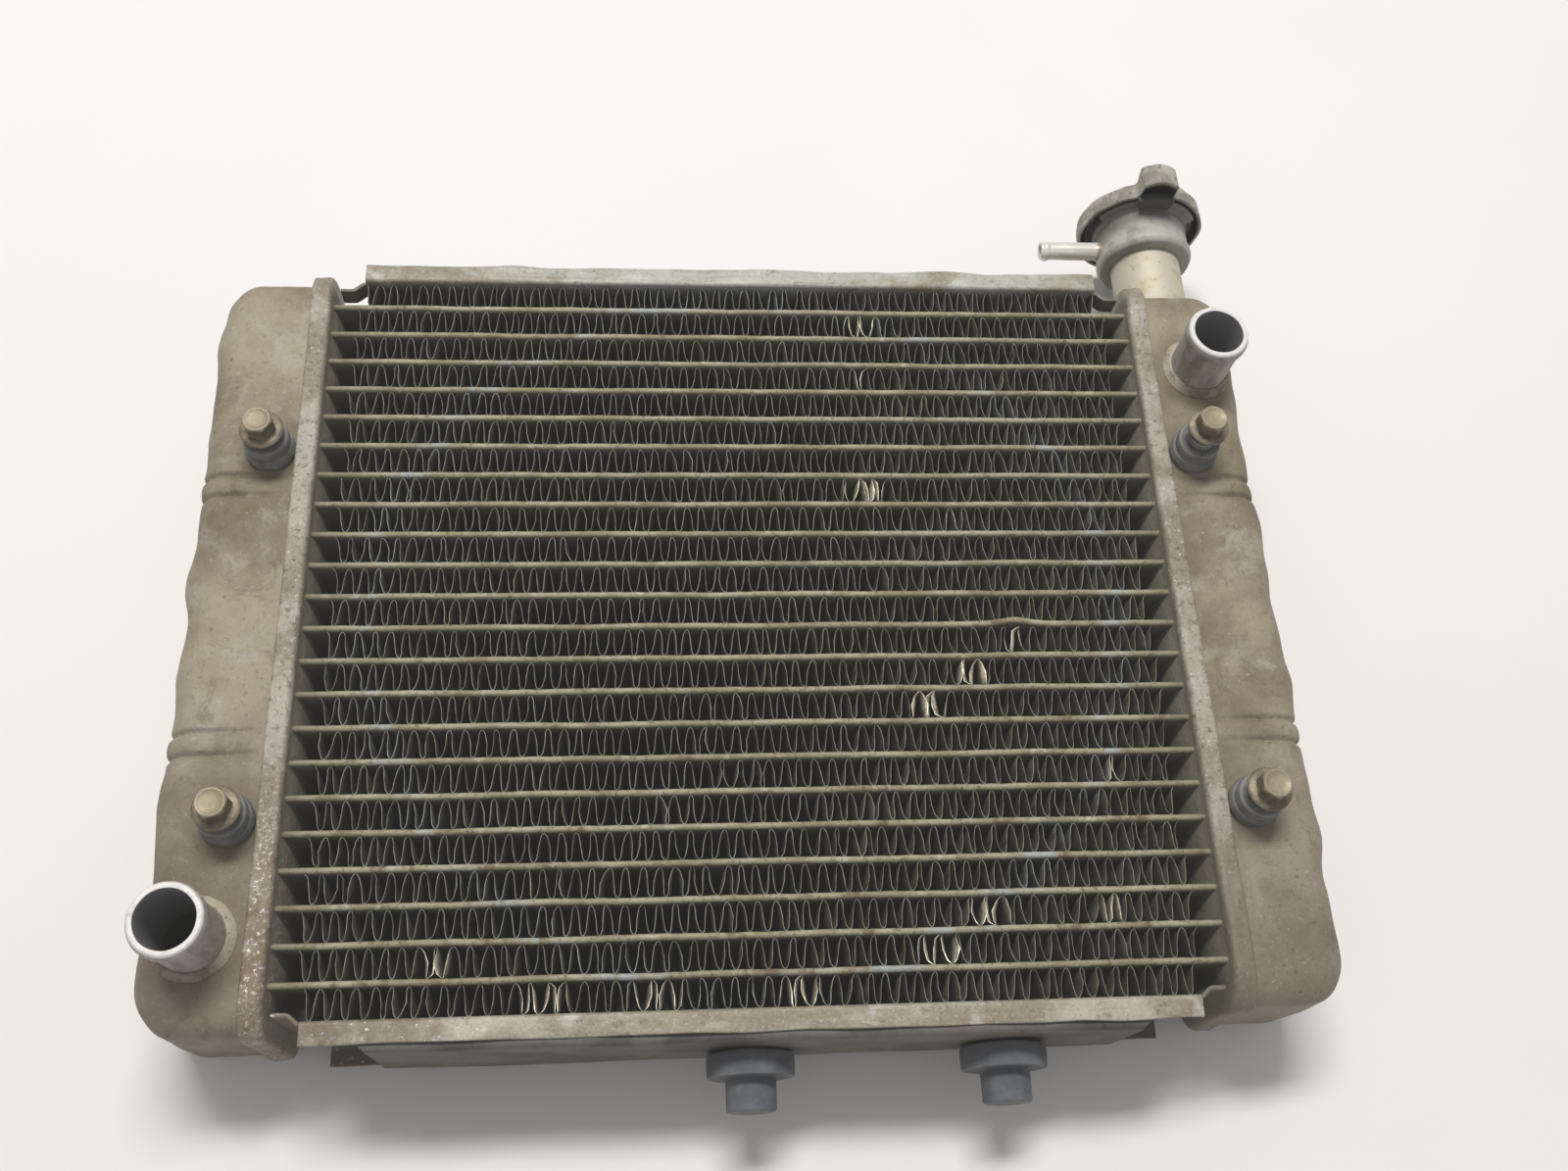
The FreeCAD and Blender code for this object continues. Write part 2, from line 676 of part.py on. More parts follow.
def cap_shell():
    """Pressed cap: disc, skirt, two hooded ears and two cam lugs."""
    inner = CAP_R - CAP_WALL
    shell = turned_on_neck([
        (RIVET_R, CAP_TOP_Y - CAP_WALL),
        (inner, CAP_TOP_Y - CAP_WALL),
        (inner, CAP_SKIRT_Y),
        (CAP_R, CAP_SKIRT_Y),
        (CAP_R, CAP_TOP_Y - 0.8),
        (CAP_R - 0.8, CAP_TOP_Y),
        (RIVET_R, CAP_TOP_Y),
    ])
    for direction in (-1, 1):
        shell = shell.fuse(ear(direction, 0.0)).cut(ear(direction, CAP_WALL))
    lug_top = CAM_Y - LUG_GAP
    lug_low = lug_top - CAP_WALL
    for middle in (90, 270):
        arm = neck_sector(inner, CAP_R, lug_low, CAP_SKIRT_Y + CAP_WALL, LUG_DEG, middle)
        lug = neck_sector(LUG_INNER_R, inner, lug_low, lug_top, LUG_DEG, middle)
        shell = shell.fuse(arm).fuse(lug)
    return shell.removeSplitter()


def cap_levels():
    """Y of the seal's foot, of the disc's foot and of the disc's top."""
    seal_low = CAM_Y + CAM_THICKNESS + SEAL_GAP
    disc_low = seal_low + SEAL_THICKNESS
    return seal_low, disc_low, disc_low + DISC_THICKNESS


def cap_rivet():
    """Headed rivet that holds the cap's pieces and guides the pressure valve."""
    disc_top = cap_levels()[2]
    under_shell = CAP_TOP_Y - CAP_WALL
    return turned_on_neck([
        (0, STEM_END_Y),
        (STEM_R, STEM_END_Y),
        (STEM_R, disc_top),
        (RIVET_SHOULDER_R, disc_top),
        (RIVET_SHOULDER_R, under_shell),
        (RIVET_R, under_shell),
        (RIVET_R, CAP_TOP_Y),
        (RIVET_HEAD_R, CAP_TOP_Y),
        (RIVET_HEAD_R - 0.5, CAP_TOP_Y + RIVET_HEAD),
        (0, CAP_TOP_Y + RIVET_HEAD),
    ])


def valve_levels():
    """Y of the gasket's foot, of the plate's foot and of the plate's top."""
    gasket_low = SEAT_Y + VALVE_GAP
    plate_low = gasket_low + GASKET_THICKNESS
    return gasket_low, plate_low, plate_low + VALVE_PLATE


def pressure_valve():
    """Valve plate with a tubular guide that slides on the rivet's stem."""
    plate_low, plate_top = valve_levels()[1:]
    return turned_on_neck([
        (VALVE_PORT_R, plate_low),
        (VALVE_PLATE_R, plate_low),
        (VALVE_PLATE_R, plate_top),
        (GUIDE_R, plate_top),
        (GUIDE_R, GUIDE_TOP_Y),
        (GUIDE_BORE_R, GUIDE_TOP_Y),
        (GUIDE_BORE_R, GUIDE_NECK_Y),
        (GUIDE_ROOM_R, GUIDE_NECK_Y),
        (GUIDE_ROOM_R, plate_top),
        (VALVE_PORT_R, plate_top),
    ])


def vacuum_valve():
    """Small disc under the plate, hung on a headed stem through the port."""
    disc_top = valve_levels()[1] - VALVE_GAP
    collar_low = VACUUM_TOP_Y - VACUUM_COLLAR
    return turned_on_neck([
        (0, disc_top - VACUUM_DISC),
        (VACUUM_DISC_R, disc_top - VACUUM_DISC),
        (VACUUM_DISC_R, disc_top),
        (VACUUM_STEM_R, disc_top),
        (VACUUM_STEM_R, collar_low),
        (VACUUM_COLLAR_R, collar_low),
        (VACUUM_COLLAR_R, VACUUM_TOP_Y),
        (0, VACUUM_TOP_Y),
    ])


# ================================================================ build
def build():
    os.makedirs("parts", exist_ok=True)

    right_holes = boss_holes() + [pipe_hole(INLET), neck_hole()]
    left_holes = boss_holes() + [pipe_hole(OUTLET)]
    right_header = header()
    neck_pipe = rod(NECK_R, Vector(NECK_X, TANK_HALF_Y, NECK_Z), Vector(NECK_X, RIM_HALF_Y + 1, NECK_Z))
    plate = side_plate()
    save("right_tank", tank(right_holes))
    save("left_tank", mirrored(tank(left_holes)))
    save("right_header", right_header.cut(neck_pipe))
    save("left_header", mirrored(right_header))
    save("top_side_plate", plate)
    save("bottom_side_plate", plate.mirror(Vector(0, 0, 0), Vector(0, 1, 0)))

    save("flat_tubes", Part.Compound(hollow_tubes()))
    for row in range(TUBE_COUNT + 1):
        outer = row in (0, TUBE_COUNT)
        periods = OUTER_FIN_PERIODS if outer else FIN_PERIODS
        save("fin_%02d" % (row + 1), fin(TUBE_PITCH * (row - TUBE_COUNT / 2), periods))

    save("lower_bracket", lower_bracket())
    save("lower_pins", Part.Compound(lower_pins()))
    save("lower_rubber_pads", Part.Compound(lower_pads()))

    for name, mouth in (("inlet", INLET), ("outlet", OUTLET)):
        save(name + "_pipe", hose_pipe(mouth))
        save(name + "_weld_ring", weld_ring(mouth))

    save("mounting_bolts", Part.Compound([flange_bolt(*bolt) for bolt in BOLTS]))
    save("bolt_sleeves", Part.Compound([bolt_sleeve(x, y) for x, y, lift in BOLTS]))
    save("bolt_grommets", Part.Compound([bolt_grommet(x, y) for x, y, lift in BOLTS]))
    save("tank_bosses", Part.Compound([tank_boss(x, y) for x, y, lift in BOLTS]))

    save("filler_pipe", filler_pipe())
    save("filler_cup", filler_cup())
    save("overflow_spout", overflow_spout())

    seal_low, disc_low, disc_top = cap_levels()
    gasket_low, plate_low, plate_top = valve_levels()
    collar_low = VACUUM_TOP_Y - VACUUM_COLLAR
    save("cap_shell", cap_shell())
    save("cap_rivet", cap_rivet())
    save("cap_top_seal", ring_on_neck(SEAL_INNER_R, SEAL_R, seal_low, disc_low))
    save("cap_spring_disc", ring_on_neck(STEM_R, DISC_R, disc_low, disc_top))
    save("pressure_spring", coil_on_neck(MAIN_SPRING_R, MAIN_SPRING_WIRE_R, MAIN_SPRING_TURNS,
                                         plate_top, disc_low))
    save("pressure_valve", pressure_valve())
    save("pressure_gasket", ring_on_neck(GASKET_INNER_R, GASKET_R, gasket_low, plate_low))
    save("vacuum_valve", vacuum_valve())
    save("vacuum_spring", coil_on_neck(VACUUM_SPRING_R, VACUUM_SPRING_WIRE_R, VACUUM_SPRING_TURNS,
                                       plate_top, collar_low))


build()
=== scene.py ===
"""Looks of the small car radiator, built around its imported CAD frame.

Pieces are drawn in millimetres in the part's own frame: X along the tubes, +Y
towards the filler neck, +Z out of the front face, the table at Z = 0. Places
come from the boxes of the CAD nodes; sizes that the boxes don't give are named.
"""
import math

import bmesh
import bpy
import numpy as np
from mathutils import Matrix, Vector


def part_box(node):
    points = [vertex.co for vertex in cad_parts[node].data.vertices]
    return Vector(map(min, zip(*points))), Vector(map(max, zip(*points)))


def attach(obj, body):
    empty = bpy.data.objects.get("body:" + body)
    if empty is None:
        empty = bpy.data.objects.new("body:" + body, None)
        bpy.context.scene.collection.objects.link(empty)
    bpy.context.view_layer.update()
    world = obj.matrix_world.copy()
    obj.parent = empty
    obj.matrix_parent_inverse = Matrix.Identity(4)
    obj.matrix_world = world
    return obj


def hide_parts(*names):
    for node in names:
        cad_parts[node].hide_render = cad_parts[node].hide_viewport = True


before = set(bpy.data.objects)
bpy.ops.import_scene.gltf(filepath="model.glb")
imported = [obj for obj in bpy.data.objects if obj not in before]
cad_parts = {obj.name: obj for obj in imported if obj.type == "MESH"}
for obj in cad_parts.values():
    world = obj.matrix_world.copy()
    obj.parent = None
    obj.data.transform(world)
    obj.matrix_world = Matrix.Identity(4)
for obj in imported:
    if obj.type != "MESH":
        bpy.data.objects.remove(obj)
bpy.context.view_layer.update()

MM = 0.001

# ---------------------------------------------------------------- sizes, mm
TUBE_COUNT = 22
TUBE_THICKNESS = 1.8
TUBE_WALL = 0.3
FIN_PERIODS = 54
OUTER_FIN_PERIODS = 53
FIN_SHEET = 0.13
LOUVRE_PITCH = 1.3
LOUVRED_DEPTH = 13.2
RIM_WIDTH = 6.2
RIM_WALL = 1.6
RIM_CORNER = 9.6
PLATE_WALL = 1.8
CROWN_INSET = 4.2
HEADER_RISE = 1.0
HEADER_DROP = 2.6
TANK_WALL = 2.0
TANK_CORNER = 11.5
TANK_EDGE = 8.0
LOW_END_BULGE = 3.0
BEAD_OFFSET = 40.0
BEAD_GROOVE_OFFSET = 3.3
BOLT_GRIME_R = 9.0
PIPE_GRIME_R = 13.0
CUT_DEPTH = 6.0
CUT_CLEARANCE = 4.0
SIDE_SHEET = 1.2
SIDE_HALF_X = 118.6
TOP_TAB_DEPTH = 9.0
LOW_TAB_DEPTH = 37.0
BRACKET_SHEET = 1.5
BRACKET_CHAMFER = 3.0
PIPE_R = 9.0
PIPE_BORE_R = 7.6
BOSS_R = 6.0
BOLT_FLANGE_R = 6.3
BOLT_HEX_R = 8.0 / math.sqrt(3)
BOLT_THREAD_R = 2.9
SLEEVE_R = 4.2
PIN_COLLAR_R = 8.0
PIN_R = 4.6
PAD_R = 12.0
NECK_R = 11.8
NECK_BORE_R = 10.4
CUP_R = 15.8
CUP_WALL = 1.2
CAM_R = 19.4
CAP_R = 21.8
CAP_WALL = 1.2
EAR_R = 29.3
EAR_HALF_WIDTH = 6.03
SPOUT_R = 3.1
SPOUT_BORE_R = 2.2
# the lime ring that the fan's shroud left on the core
RING_R = 110.0
RING_HALF_WIDTH = 7.5

# spots where fins were knocked over: x, y, reach and strength of the bend, mm
BENT_FINS = (
    (37.6, 89.8, 5.5, 1.2),
    (36.0, 71.0, 2.5, 0.7),
    (35.6, 30.2, 6.0, 1.3),
    (60.6, 22.0, 2.5, 0.6),
    (77.2, -19.4, 2.2, 2.2),
    (62.6, -31.0, 4.6, 2.2),
    (49.6, -41.0, 4.8, 2.3),
    (100.6, -61.8, 3.0, 0.8),
    (60.6, -99.8, 6.0, 1.1),
    (46.3, -111.4, 6.0, 1.2),
    (8.6, -121.0, 6.0, 1.1),
    (-60.0, -121.0, 8.0, 0.9),
    (-88.0, -110.0, 5.0, 0.9),
    (-30.0, -121.0, 8.0, 0.8),
    (95.0, -101.0, 4.0, 0.9),
)
# the tube that something struck, and how far it moved
DENTED_TUBE = {"x": 77.2, "row": 10, "half_length": 5.5, "depth": 1.25}


# ================================================================ frame boxes
def box_mm(node):
    """Lowest and highest corner of a CAD node, in millimetres."""
    low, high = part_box(node)
    return np.array(low) / MM, np.array(high) / MM


def middle_mm(node):
    """Middle of a CAD node's box, in millimetres."""
    low, high = box_mm(node)
    return (low + high) / 2


FIN_LOW, FIN_HIGH = box_mm("fin_01")
TUBES_LOW, TUBES_HIGH = box_mm("flat_tubes")
CORE_FRONT_Z = TUBES_HIGH[2]
CORE_MIDDLE = (TUBES_LOW + TUBES_HIGH) / 2
TUBE_PITCH = (TUBES_HIGH[1] - TUBES_LOW[1] - TUBE_THICKNESS) / (TUBE_COUNT - 1)
NECK_MIDDLE = middle_mm("filler_cup")
NECK_AXIS = (NECK_MIDDLE[0], 0.0, NECK_MIDDLE[2])


# ================================================================ mesh helpers
def placed(name, data):
    """Object of that name with the data, linked into the scene."""
    made = bpy.data.objects.new(name, data)
    bpy.context.scene.collection.objects.link(made)
    return made


def grid_faces(rows, columns, wrap_rows=False, wrap_columns=False):
    """Quads of a grid of points that are numbered row by row."""
    row = np.arange(rows if wrap_rows else rows - 1)
    column = np.arange(columns if wrap_columns else columns - 1)
    row, column = np.meshgrid(row, column, indexing="ij")
    below = (row + 1) % rows
    beside = (column + 1) % columns
    here, there = row * columns, below * columns
    corners = [here + column, here + beside, there + beside, there + column]
    return np.stack(corners, -1).reshape(-1, 4)


def capped_faces(rows, columns):
    """Faces of a tube of points, numbered ring by ring, with a cap on each end."""
    ring = np.arange(columns)[None, :]
    return [grid_faces(rows, columns, wrap_columns=True), ring[:, ::-1], ring + (rows - 1) * columns]


def signed_volume(points, face_sets):
    """Volume that closed faces hold: negative where they are inside out."""
    total = 0.0
    for faces in face_sets:
        first = points[faces[:, 0]]
        for corner in range(1, faces.shape[1] - 1):
            second = points[faces[:, corner]]
            third = points[faces[:, corner + 1]]
            total += np.einsum("ij,ij->", first, np.cross(second, third))
    return total / 6


class Shells:
    """Points, faces and wear of one piece, gathered shell by shell."""

    def __init__(self):
        self.points = []
        self.faces = []
        self.wear_and_shade = []
        self.count = 0

    def add(self, points, face_sets, wear_and_shade=0.0):
        """Adds a closed shell, turned so that its faces look outward; its wear and shade mark is one value
        or one a point.
        """
        points = np.asarray(points, float).reshape(-1, 3)
        flip = signed_volume(points, face_sets) < 0
        for faces in face_sets:
            turned = faces[:, ::-1] if flip else faces
            self.faces.append(turned + self.count)
        self.points.append(points)
        self.wear_and_shade.append(np.broadcast_to(wear_and_shade, len(points)))
        self.count += len(points)
        return self

    def turn(self, profile, centre, axis, segments, form=None, wear_and_shade=0.0, poles=()):
        """Adds a turned shell: the wear and shade mark holds a value for each row, poles one for each pole.
        """
        points, faces = turned(profile, centre, axis, segments, form, closed=not poles)
        by_row = np.broadcast_to(wear_and_shade, len(profile))
        return self.add(points, faces, np.concatenate([np.repeat(by_row, segments), poles]))

    def build(self, name, node, material, body="radiator", smooth_deg=42.0, weld=False):
        """Makes the object, which stands for the CAD node and rides on its body."""
        mesh = bpy.data.meshes.new(name)
        points = np.concatenate(self.points) * MM
        corners = np.concatenate([faces.ravel() for faces in self.faces])
        sizes = np.concatenate([np.full(len(faces), faces.shape[1]) for faces in self.faces])
        starts = np.concatenate([[0], np.cumsum(sizes)[:-1]])
        mesh.vertices.add(len(points))
        mesh.vertices.foreach_set("co", points.astype(np.float32).ravel())
        mesh.loops.add(len(corners))
        mesh.loops.foreach_set("vertex_index", corners.astype(np.int32))
        mesh.polygons.add(len(sizes))
        mesh.polygons.foreach_set("loop_start", starts.astype(np.int32))
        wear_and_shade = mesh.attributes.new("wear_and_shade", "FLOAT", "POINT")
        wear_and_shade.data.foreach_set("value", np.concatenate(self.wear_and_shade).astype(np.float32))
        mesh.update(calc_edges=True)
        mesh.validate()
        if weld:
            weld_points(mesh)
        mesh.shade_smooth()
        mesh.set_sharp_from_angle(angle=math.radians(smooth_deg))
        piece = placed(name, mesh)
        mesh.materials.append(material)
        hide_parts(node)
        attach(piece, body)
        return piece


def weld_points(mesh):
    """Joins points that coincide, and drops the faces that this closes up."""
    work = bmesh.new()
    work.from_mesh(mesh)
    bmesh.ops.remove_doubles(work, verts=work.verts, dist=1e-7)
    work.to_mesh(mesh)
    work.free()


def smooth_step(low, high, value):
    """0 below low, 1 above high and a smooth rise between."""
    share = np.clip((value - low) / (high - low), 0, 1)
    return share * share * (3 - 2 * share)


def ripple(points, wavelength, seed, terms=10):
    """Smooth random field of about unit height over the points."""
    random = np.random.default_rng(seed)
    points = np.asarray(points, float)
    directions = random.normal(size=(terms, points.shape[-1]))
    directions /= np.linalg.norm(directions, axis=1)[:, None]
    directions *= (2 * math.pi / wavelength * random.uniform(0.6, 1.5, terms))[:, None]
    phases = random.uniform(0, 2 * math.pi, terms)
    return np.sin(points @ directions.T + phases).sum(-1) / math.sqrt(terms / 2)


def rounded(corners, closed=True, steps=4):
    """Outline with its corners rounded: each corner is (a, b) or (a, b, radius)."""
    made = []
    count = len(corners)
    for index, corner in enumerate(corners):
        here = np.array(corner[:2], float)
        radius = corner[2] if len(corner) > 2 else 0.0
        inside = closed or 0 < index < count - 1
        if radius == 0 or not inside:
            made.append(here)
            continue
        to_last = np.array(corners[index - 1][:2], float) - here
        to_next = np.array(corners[(index + 1) % count][:2], float) - here
        last_length, next_length = np.linalg.norm(to_last), np.linalg.norm(to_next)
        to_last, to_next = to_last / last_length, to_next / next_length
        half = math.acos(np.clip(to_last @ to_next, -1, 1)) / 2
        reach = min(radius / math.tan(half), 0.48 * last_length, 0.48 * next_length)
        for step in range(steps + 1):
            share = step / steps
            bend = (1 - share) ** 2 * to_last + share ** 2 * to_next
            made.append(here + reach * bend)
    return np.array(made)


def densified(outline, spacing, closed=True):
    """The outline with its long stretches divided."""
    made = []
    ends = list(outline[1:]) + ([outline[0]] if closed else [])
    for start, end in zip(outline, ends):
        parts = max(1, int(math.ceil(np.linalg.norm(end - start) / spacing)))
        made += [start + (end - start) * part / parts for part in range(parts)]
    if not closed:
        made.append(outline[-1])
    return np.array(made)


AXIS_ORDER = {"X": (1, 2, 0), "Y": (0, 2, 1), "Z": (0, 1, 2)}


def turned(profile, centre, axis, segments=96, form=None, closed=True):
    """Turned shell about an axis: profile is rows of (radius, height), closed or from pole to pole.

    form(radius, height, angle) may reshape it, and returns the new radius and height.
    """
    angle = np.linspace(0, 2 * math.pi, segments, endpoint=False)
    radius = np.repeat(profile[:, 0][:, None], segments, 1)
    height = np.repeat(profile[:, 1][:, None], segments, 1)
    if form:
        radius, height = form(radius, height, angle[None, :] + 0 * radius)
    across, up = radius * np.cos(angle), radius * np.sin(angle)
    order = AXIS_ORDER[axis]
    local = np.stack([across, up, height], -1)
    points = np.empty_like(local)
    for source, target in enumerate(order):
        points[..., target] = local[..., source]
    points = points.reshape(-1, 3) + np.asarray(centre)
    rows = len(profile)
    faces = [grid_faces(rows, segments, wrap_rows=closed, wrap_columns=True)]
    if not closed:
        around = np.arange(segments)
        beside = (around + 1) % segments
        low_pole = np.full(segments, len(points))
        last_row = (rows - 1) * segments
        poles = points.reshape(rows, segments, 3)[[0, -1]].mean(1)
        points = np.concatenate([points, poles])
        faces.append(np.stack([low_pole, beside, around], -1))
        faces.append(np.stack([low_pole + 1, last_row + around, last_row + beside], -1))
    return points, faces


def swept_along_x(outline, stations, shift=None):
    """Closed outline of (y, z) points carried along X; shift(x, y, z) may move the points."""
    stations = np.asarray(stations, float)
    x = np.repeat(stations[:, None], len(outline), 1)
    y = np.repeat(outline[:, 0][None, :], len(stations), 0)
    z = np.repeat(outline[:, 1][None, :], len(stations), 0)
    if shift:
        x, y, z = shift(x, y, z)
    return np.stack([x, y, z], -1).reshape(-1, 3), capped_faces(len(stations), len(outline))


def spread(low, high, spacing):
    """Evenly spaced values from low to high."""
    return np.linspace(low, high, max(2, int(round((high - low) / spacing)) + 1))


# ================================================================ materials
def srgb(red, green, blue):
    """Colour from 0 to 255 values, as the linear colour that shaders take."""
    channels = [value / 255 for value in (red, green, blue)]
    linear = [c / 12.92 if c <= 0.04045 else ((c + 0.055) / 1.055) ** 2.4 for c in channels]
    return (*linear, 1.0)


class Surface:
    """A procedural material in the making; its methods add nodes and return their outputs."""

    def __init__(self, name, metallic=0.0, specular=0.5):
        self.material = bpy.data.materials.new(name)
        self.material.use_nodes = True
        self.tree = self.material.node_tree
        self.shader = self.tree.nodes["Principled BSDF"]
        self.shader.inputs["Specular IOR Level"].default_value = specular
        self.set("Metallic", metallic)
        self.place = self.node("ShaderNodeTexCoord").outputs["Object"]
        self.base = None
        self.seed = 0.0

    def node(self, kind, inputs=(), **settings):
        """Adds a node: inputs maps its sockets to outputs or plain values."""
        made = self.tree.nodes.new(kind)
        for key, value in settings.items():
            setattr(made, key, value)
        for key, value in dict(inputs).items():
            self.put(made.inputs[key], value)
        return made

    def put(self, socket, value):
        """Links an output to the socket, or sets a plain value on it."""
        if isinstance(value, bpy.types.NodeSocket):
            self.tree.links.new(value, socket)
        else:
            socket.default_value = value

    def set(self, name, value):
        self.put(self.shader.inputs[name], value)

    def stretched(self, stretch):
        """Coordinates stretched by the factors, and shifted to a new place at each call."""
        self.seed += 1.7
        shift = (self.seed, -self.seed, 0.5 * self.seed)
        inputs = {"Vector": self.place, "Location": shift, "Scale": stretch}
        return self.node("ShaderNodeMapping", inputs).outputs["Vector"]

    def noise(self, size, detail=5.0, roughness=0.6, distortion=0.0, stretch=(1, 1, 1)):
        """Cloudy noise with features of about size metres."""
        inputs = {
            "Vector": self.stretched(stretch), "Scale": 1 / size, "Detail": detail,
            "Roughness": roughness, "Distortion": distortion,
        }
        return self.node("ShaderNodeTexNoise", inputs).outputs["Fac"]

    def cells(self, size):
        """Distance from scattered points about size metres apart."""
        inputs = {"Vector": self.stretched((1, 1, 1)), "Scale": 1 / size}
        return self.node("ShaderNodeTexVoronoi", inputs).outputs["Distance"]

    def mask(self, value, low, high):
        """Smooth 0 to 1 mask as the value passes from low to high."""
        inputs = {"Value": value, "From Min": low, "From Max": high}
        made = self.node("ShaderNodeMapRange", inputs, interpolation_type="SMOOTHSTEP")
        return made.outputs["Result"]

    def patches(self, low, high, *noise, **settings):
        """Mask of the patches where a noise passes from low to high."""
        return self.mask(self.noise(*noise, **settings), low, high)

    def math(self, operation, first, second=0.0):
        return self.node("ShaderNodeMath", {0: first, 1: second}, operation=operation).outputs[0]

    def both(self, first, second):
        """Product of two masks, or of a mask and a strength."""
        return self.math("MULTIPLY", first, second)

    def mix(self, first, second, factor):
        """Mix of two colours: each is an output, or red, green and blue from 0 to 255."""
        first, second = (srgb(*c) if isinstance(c, tuple) else c for c in (first, second))
        inputs = {"Factor": factor, 6: first, 7: second}
        return self.node("ShaderNodeMix", inputs, data_type="RGBA").outputs[2]

    def coat(self, colour, mask, strength=1.0):
        """Lays a colour over the base colour made so far."""
        self.base = self.mix(self.base, colour, self.both(mask, strength))

    def blend(self, first, second, factor):
        """Mix of two values."""
        inputs = {"Factor": factor, 2: first, 3: second}
        return self.node("ShaderNodeMix", inputs, data_type="FLOAT").outputs[0]

    def axis(self, name):
        """X, Y or Z of the place on the part, in metres."""
        return self.node("ShaderNodeSeparateXYZ", {0: self.place}).outputs[name]

    def wear_and_shade(self):
        """The wear, dirt and painted shade that the piece's mesh carries."""
        return self.node("ShaderNodeAttribute", attribute_name="wear_and_shade").outputs["Fac"]

    def bump(self, *layers):
        """Bump from (height, depth in mm) pairs, one over the other."""
        below = {}
        for height, depth in layers:
            inputs = {"Distance": depth * MM, "Strength": 1.0, "Height": height, **below}
            below = {"Normal": self.node("ShaderNodeBump", inputs).outputs["Normal"]}
        self.set("Normal", below["Normal"])

    def finished(self, roughness, *bumps):
        """The material, with its base colour, roughness and bump in place."""
        self.set("Base Color", self.base)
        self.set("Roughness", roughness)
        self.bump(*bumps)
        return self.material


def ring_stain(surface):
    """Mask of the lime ring that the fan's shroud left on the core."""
    inputs = {0: surface.place, 1: (1, 1, 0)}
    flat = surface.node("ShaderNodeVectorMath", inputs, operation="MULTIPLY")
    inputs = {0: flat.outputs["Vector"], 1: (CORE_MIDDLE[0] * MM, CORE_MIDDLE[1] * MM, 0)}
    away = surface.node("ShaderNodeVectorMath", inputs, operation="DISTANCE")
    off_ring = surface.math("ABSOLUTE", surface.math("SUBTRACT", away.outputs["Value"], RING_R * MM))
    band = surface.mask(off_ring, RING_HALF_WIDTH * MM, MM)
    return surface.both(band, surface.patches(0.44, 0.60, 0.009, 6, 0.72))


def tank_material():
    s = Surface("oxidised_tank", metallic=0.15, specular=0.3)
    cloud = s.patches(0.38, 0.62, 0.050, 6, 0.64)
    s.base = s.mix((156, 147, 127), (122, 111, 91), cloud)
    pale = s.patches(0.52, 0.68, 0.019, 7, 0.70, 0.6)
    s.coat((170, 166, 154), pale, 0.55)
    rust = s.patches(0.54, 0.68, 0.013, 6, 0.70, 0.8)
    s.coat((110, 96, 74), rust, 0.6)
    # painted shade: the tank is laid darker towards its lower end
    shade_to_low_end = s.mask(s.axis("Y"), -0.02, -0.125)
    s.coat((114, 106, 96), shade_to_low_end, 0.45)
    grain = s.noise(0.0015, 4, 0.72)
    s.coat((92, 85, 72), s.mask(grain, 0.54, 0.72), 0.5)
    light_grain = s.patches(0.60, 0.74, 0.0012, 3, 0.7)
    s.coat((196, 190, 174), light_grain, 0.45)
    specks = s.mask(s.cells(0.0050), 0.16, 0.06)
    spotted = s.both(specks, s.patches(0.44, 0.60, 0.03, 3))
    s.coat((82, 74, 62), spotted, 0.6)
    s.coat((112, 100, 80), s.wear_and_shade(), 0.75)
    return s.finished(
        s.blend(0.55, 0.82, s.noise(0.012, 4)), (s.noise(0.0009, 3, 0.7), 0.12),
        (s.noise(0.006, 4, 0.6), 0.45),
    )


def header_material():
    s = Surface("pitted_header", metallic=0.2, specular=0.4)
    s.base = s.mix((164, 160, 147), (136, 128, 110), s.patches(0.40, 0.60, 0.02, 6))
    pits = s.patches(0.515, 0.64, 0.0021, 6, 0.78)
    s.coat((86, 79, 66), pits, 0.75)
    bright = s.patches(0.56, 0.70, 0.0012, 4, 0.7)
    s.coat((208, 205, 195), bright, 0.65)
    left = s.mask(s.axis("X"), -0.10, -0.12)
    stained = s.both(left, s.mask(s.axis("Y"), -0.045, -0.10))
    patchy = s.both(stained, s.patches(0.34, 0.58, 0.014, 4))
    s.coat((116, 96, 68), patchy, 0.7)
    right = s.both(s.mask(s.axis("X"), 0.10, 0.12), s.mask(s.axis("Y"), -0.06, -0.11))
    s.coat((112, 103, 88), right, 0.7)
    # painted shade: the crown between the tubes and the rim's inner wall are laid darker
    crown = s.wear_and_shade()
    s.coat((142, 137, 124), crown, 0.7)
    # glossy specks in the left stain, with a pale colour that is a painted glint
    wet_glint = s.both(stained, s.patches(0.55, 0.60, 0.0012, 5, 0.75))
    s.coat((206, 203, 205), wet_glint, 0.6)
    return s.finished(
        s.blend(s.blend(0.42, 0.7, s.noise(0.006, 4)), 0.10, wet_glint), (s.noise(0.0016, 5, 0.75), 0.28),
        (s.noise(0.008, 3), 0.4),
    )


